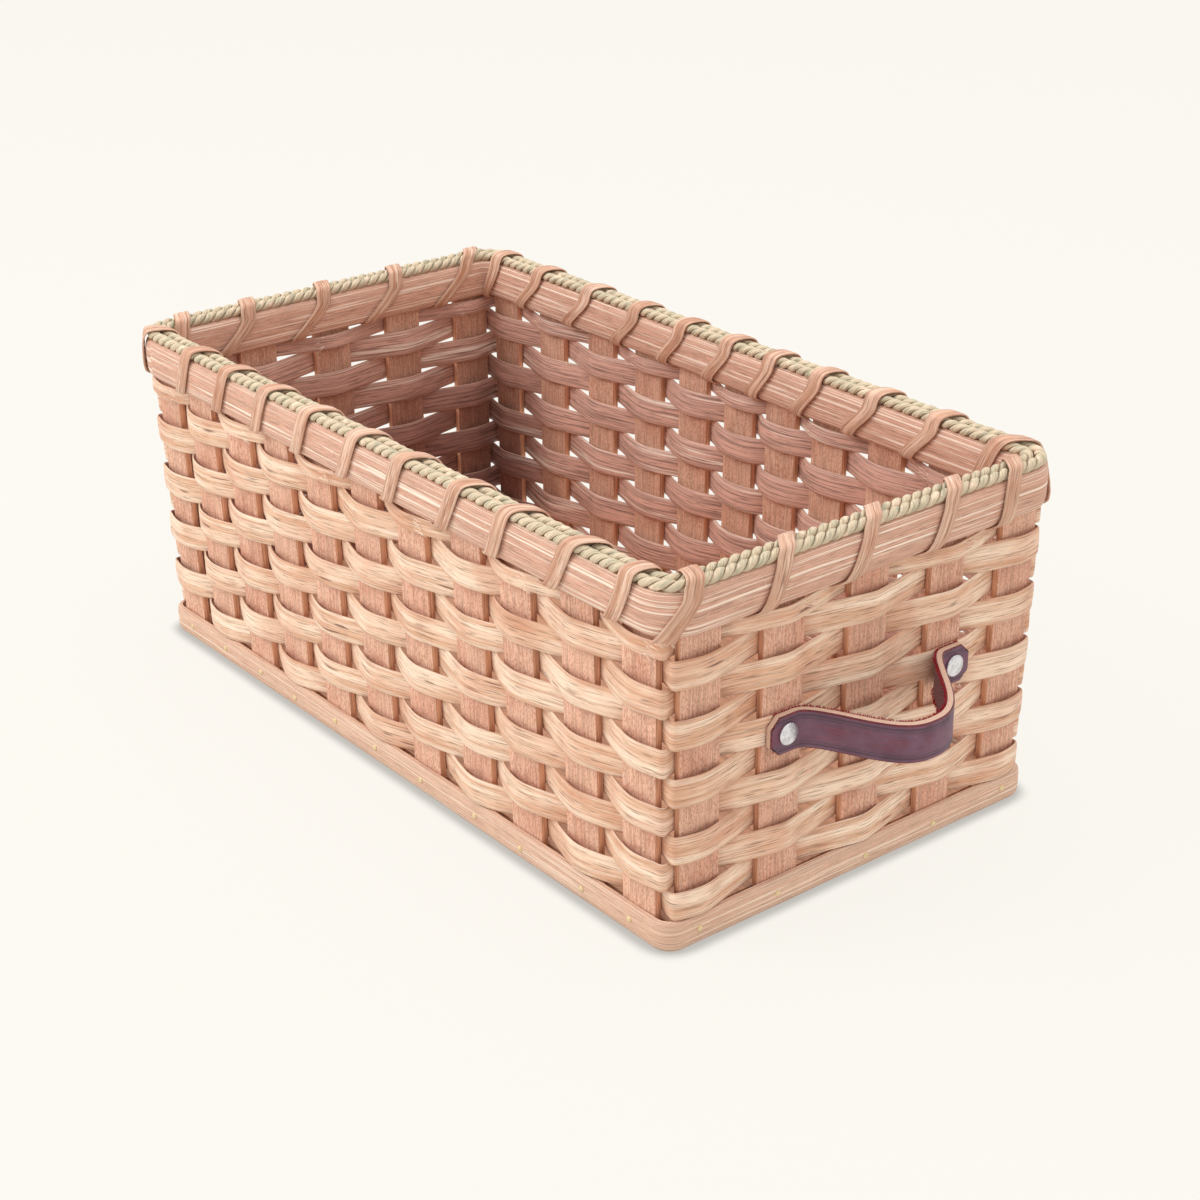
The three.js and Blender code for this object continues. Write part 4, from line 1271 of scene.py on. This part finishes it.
class BASKET_OT_strap(bpy.types.Operator):
    """Bow the leather strap and set its rivets"""
    bl_idname = "basket.strap"
    bl_label = "Handle Strap and Rivets"
    bl_options = {"REGISTER", "UNDO"}

    def execute(self, context):
        handle = settings("handle")
        around = [stake for stake in stakes() if stake[0] is HANDLE_SIDE]
        places = [stake_along(around[k], handle.height) + way * handle.spread
                  for k, way in ((1, -1), (-2, 1))]
        self.strap(places)
        for index, place in enumerate(places):
            self.rivet(place, str(index + 1))
        return {"FINISHED"}

    def line(self, half_span):
        """The strap's back seen from above, as points of (along, out, 0), from tab to tab."""
        handle = settings("handle")
        points = [(-(half_span + handle.tab), 0), (-half_span, 0)]
        for step in range(BOW_STEPS + 1):
            part = 2 * step / BOW_STEPS - 1
            turn = math.pi * abs(part) ** handle.fullness
            points.append((part * (half_span - handle.flat), handle.bow * (0.5 + 0.5 * math.cos(turn))))
        points += [(half_span, 0), (half_span + handle.tab, 0)]
        return [Vector((*point, 0)) for point in points]

    def blank(self, total):
        """The strap laid flat along X, its face up, with cut corners and rounded edges."""
        handle = settings("handle")
        bm = bmesh.new()
        uv = bm.loops.layers.uv.verify()
        bmesh.ops.create_grid(bm, x_segments=STRAP_FACES[0], y_segments=STRAP_FACES[1], size=0.5)
        bmesh.ops.scale(bm, vec=(total, handle.width, 1), verts=bm.verts)
        for sx in (-1, 1):
            for sy in (-1, 1):
                cut = (sx * (total / 2 - handle.chamfer), sy * (handle.width / 2), 0)
                bmesh.ops.bisect_plane(bm, geom=bm.verts[:] + bm.edges[:] + bm.faces[:], dist=1e-6,
                                       clear_outer=True, plane_co=cut, plane_no=(sx, sy, 0))
        for face in bm.faces:
            for loop in face.loops:
                loop[uv].uv = loop.vert.co.xy
        bmesh.ops.recalc_face_normals(bm, faces=bm.faces)
        if bm.faces[:][0].normal.z < 0:
            bmesh.ops.reverse_faces(bm, faces=bm.faces)
        bmesh.ops.solidify(bm, geom=bm.faces[:], thickness=handle.thickness)
        for face in bm.faces:
            face.material_index = 0 if face.normal.z > 0.5 else 2 if face.normal.z < -0.5 else 1
        borders = [edge for edge in bm.edges if len(edge.link_faces) == 2
                   and {face.material_index for face in edge.link_faces} in ({0, 1}, {1, 2})]
        rounded = bmesh.ops.bevel(bm, geom=borders, offset=STRAP_ROUNDING, offset_type="OFFSET", segments=2,
                                  profile=0.5, affect="EDGES", material=-1)["faces"]
        for face in rounded:
            face.material_index = 2
        return bm

    def bend(self, line, far, run):
        """Point and direction of the strap's back at a distance along it."""
        index = min(bisect.bisect_right(far, run) - 1, len(far) - 2)
        heading = (line[index + 1] - line[index]).normalized()
        before = (line[index] - line[index - 1]).normalized() if index else heading
        after = line[min(index + 2, len(line) - 1)] - line[index + 1]
        after = after.normalized() if after.length > 1e-9 else heading
        part = min((run - far[index]) / (far[index + 1] - far[index]), 1.0)
        turned = ((before + heading) * (1 - part) + (heading + after) * part).normalized()
        return line[index].lerp(line[index + 1], part), turned

    def strap(self, places):
        handle = settings("handle")
        along, out = HANDLE_SIDE.along, HANDLE_SIDE.out
        line = self.line((places[1] - places[0]) / 2)
        far = [0.0]
        for a, b in zip(line, line[1:]):
            far.append(far[-1] + (b - a).length)
        bm = self.blank(far[-1])
        low = min(vert.co.z for vert in bm.verts)
        centre = side_point(HANDLE_SIDE, (places[0] + places[1]) / 2, handle.seat, handle.height)
        fuzz = []
        for vert in bm.verts:
            back_point, turned = self.bend(line, far, min(max(vert.co.x + far[-1] / 2, 0), far[-1]))
            depth, edge = vert.co.z - low, vert.co.y
            flat = back_point + Vector((-turned.y, turned.x, 0)) * depth
            up = edge - handle.sag * (max(flat.y, 0) / handle.bow) ** SAG_POWER
            vert.co = centre + along * flat.x + out * flat.y + UP * up
            if depth < FUZZ_DEPTH and abs(edge) > handle.width / 2 - FUZZ_BORDER:
                back = along * turned.y - out * turned.x
                fuzz.append((vert.co.copy(), (back + UP * math.copysign(0.8, edge)).normalized()))
        bmesh.ops.recalc_face_normals(bm, faces=bm.faces)
        materials = [keep_finish("Strap leather", leather_finish),
                     keep_finish("Strap edge", leather_edge_finish),
                     keep_finish("Strap back", leather_back_finish)]
        finish_piece("strap_leather", bm, materials, ["handle_strap"])
        self.fuzz(fuzz)

    def fuzz(self, border):
        rng = random.Random(17)
        bm = bmesh.new()
        roots = [(point + HANDLE_SIDE.along * rng.uniform(-FUZZ_SHIFT, FUZZ_SHIFT), way)
                 for point, way in border for _ in range(FUZZ_HAIRS)]
        hairs(bm, roots, FUZZ_LENGTH, FUZZ_THICKNESS, rng)
        finish_piece("strap_fuzz", bm, [keep_finish("Strap fuzz", leather_fuzz_finish)])

    def rivet(self, place, label):
        """A cap and its post on the strap, and a second cap inside the basket."""
        handle = settings("handle")
        seat = handle.seat + handle.thickness + CAP_GAP
        inner = -(settings("weave").stake_thickness / 2 + INNER_CAP_GAP)
        post_end = inner - handle.cap_height * POST_INSIDE - seat
        post = [(handle.post_radius, 0), (handle.post_radius, post_end), (0, post_end)]
        self.cap(place, seat, 1, post, "rivet_head_" + label, "rivet_" + label)
        self.cap(place, inner, -1, [(0, 0)], "rivet_washer_" + label, "rivet_cap_" + label)

    def cap(self, place, seat, sign, back, name, node):
        """A low dome spun about its post, its seat at a distance out of the wall's middle surface."""
        handle = settings("handle")
        radius, high = handle.cap_radius, handle.cap_height
        profile = [(0, high)]
        profile += [(radius * math.sin(t), high * CAP_SHOULDER + high * (1 - CAP_SHOULDER) * math.cos(t))
                    for t in (math.pi / 2 * k / DOME_STEPS for k in range(1, DOME_STEPS + 1))]
        profile += [(radius * wide, high * z) for wide, z in CAP_LIP] + back
        bm = bmesh.new()
        verts = [bm.verts.new((r, 0, z)) for r, z in profile]
        edges = [bm.edges.new(pair) for pair in zip(verts, verts[1:])]
        bmesh.ops.spin(bm, geom=verts + edges, cent=(0, 0, 0), axis=(0, 0, 1), dvec=(0, 0, 0),
                       angle=2 * math.pi, steps=CAP_STEPS, use_merge=True)
        bmesh.ops.remove_doubles(bm, verts=bm.verts, dist=1e-6)
        out = HANDLE_SIDE.out * sign
        across = HANDLE_SIDE.along * sign
        point = side_point(HANDLE_SIDE, place, seat, handle.height)
        move(bm, bm.verts, point, turn_to(across, out.cross(across), out))
        bmesh.ops.recalc_face_normals(bm, faces=bm.faces)
        finish_piece(name, bm, [keep_finish("Rivet metal", metal_finish)], [node], sharp=50)


# Name, place, diameter and power of each light, and the point that they shine at
LIGHTS = (("key", (-0.9, -1.5, 1.5), 1.3, 22), ("top", (0.1, 0.1, 2.0), 1.6, 14))
LIGHT_TINT = (0.95, 0.98, 1.0)
LIGHT_AIM = (0, 0, 0.08)
WORLD_TINT = (1, 0.985, 0.97, 1)
WORLD_STRENGTH = 0.9
# Camera as fitted to the foot and the rim in the photograph: its angles in degrees, aim, distance and lens
CAMERA_AZIMUTH = 51.837
CAMERA_ELEVATION = 24.933
CAMERA_ROLL = -0.719
CAMERA_AIM = (0.0550, -0.0218, 0.0820)
CAMERA_DISTANCE = 1.0530
CAMERA_LENS = 68.745
CAMERA_SENSOR = 36


class BASKET_OT_stage(bpy.types.Operator):
    """Lay the pale floor and set the lights and the camera"""
    bl_idname = "basket.stage"
    bl_label = "Studio"
    bl_options = {"REGISTER", "UNDO"}

    def execute(self, context):
        self.floor()
        self.lights()
        self.camera()
        return {"FINISHED"}

    def floor(self):
        bm = bmesh.new()
        bmesh.ops.create_grid(bm, x_segments=1, y_segments=1, size=12)
        mesh = bpy.data.meshes.new("studio_floor")
        bm.to_mesh(mesh)
        bm.free()
        mesh.materials.append(keep_finish("Studio paper", paper_finish))
        floor = bpy.data.objects.new("studio_floor", mesh)
        bpy.context.scene.collection.objects.link(floor)

    def lights(self):
        scene = bpy.context.scene
        world = bpy.data.worlds.new("Studio")
        world.use_nodes = True
        background = world.node_tree.nodes["Background"]
        background.inputs["Color"].default_value = WORLD_TINT
        background.inputs["Strength"].default_value = WORLD_STRENGTH
        scene.world = world
        for name, place, size, power in LIGHTS:
            light = bpy.data.lights.new(name, "AREA")
            light.shape = "DISK"
            light.size = size
            light.energy = power
            light.color = LIGHT_TINT
            lamp = bpy.data.objects.new(name, light)
            lamp.location = place
            lamp.rotation_mode = "QUATERNION"
            lamp.rotation_quaternion = (Vector(LIGHT_AIM) - Vector(place)).to_track_quat("-Z", "Y")
            scene.collection.objects.link(lamp)
        scene.view_settings.view_transform = "Standard"

    def camera(self):
        lens = bpy.data.cameras.new("Camera")
        lens.sensor_width = CAMERA_SENSOR
        lens.lens = CAMERA_LENS
        azimuth, elevation = math.radians(CAMERA_AZIMUTH), math.radians(CAMERA_ELEVATION)
        roll = math.radians(CAMERA_ROLL)
        back = Vector((math.sin(azimuth) * math.cos(elevation), -math.cos(azimuth) * math.cos(elevation),
                       math.sin(elevation)))
        right = Vector((math.cos(azimuth), math.sin(azimuth), 0))
        up = back.cross(right)
        right, up = (right * math.cos(roll) + up * math.sin(roll),
                     up * math.cos(roll) - right * math.sin(roll))
        camera = bpy.data.objects.new("Camera", lens)
        place = Vector(CAMERA_AIM) + back * CAMERA_DISTANCE
        camera.matrix_world = Matrix.Translation(place) @ turn_to(right, up, back)
        bpy.context.scene.collection.objects.link(camera)
        bpy.context.scene.camera = camera


OPERATORS = (BASKET_OT_board, BASKET_OT_base_band, BASKET_OT_stakes, BASKET_OT_weavers, BASKET_OT_frays,
             BASKET_OT_rim_bands, BASKET_OT_cords, BASKET_OT_lashing, BASKET_OT_strap, BASKET_OT_stage)
SETTINGS = (("wall", BasketWallSizes), ("weave", BasketWeaveSizes), ("rim", BasketRimSizes),
            ("handle", BasketHandleSizes), ("colours", BasketColours))


class BASKET_PT_panel(bpy.types.Panel):
    """Sizes, colours and pieces of the basket"""
    bl_label = "Woven Basket"
    bl_idname = "BASKET_PT_panel"
    bl_space_type = "VIEW_3D"
    bl_region_type = "UI"
    bl_category = "Basket"

    def draw(self, context):
        for name, group in SETTINGS:
            box = self.layout.box()
            box.label(text=name.capitalize())
            for key in group.__annotations__:
                box.prop(settings(name), key)
        for operator in OPERATORS:
            self.layout.operator(operator.bl_idname)


def register():
    for name, group in SETTINGS:
        bpy.utils.register_class(group)
        setattr(bpy.types.Scene, "basket_" + name, PointerProperty(type=group))
    for kind in (*OPERATORS, BASKET_PT_panel):
        bpy.utils.register_class(kind)


def unregister():
    for kind in reversed((*OPERATORS, BASKET_PT_panel)):
        bpy.utils.unregister_class(kind)
    for name, group in reversed(SETTINGS):
        delattr(bpy.types.Scene, "basket_" + name)
        bpy.utils.unregister_class(group)


def main():
    register()
    bpy.ops.basket.board()
    bpy.ops.basket.base_band()
    bpy.ops.basket.stakes()
    bpy.ops.basket.weavers()
    bpy.ops.basket.frays()
    bpy.ops.basket.rim_bands()
    bpy.ops.basket.cords()
    bpy.ops.basket.lashing()
    bpy.ops.basket.strap()
    bpy.ops.basket.stage()


if __name__ == "__main__":
    main()
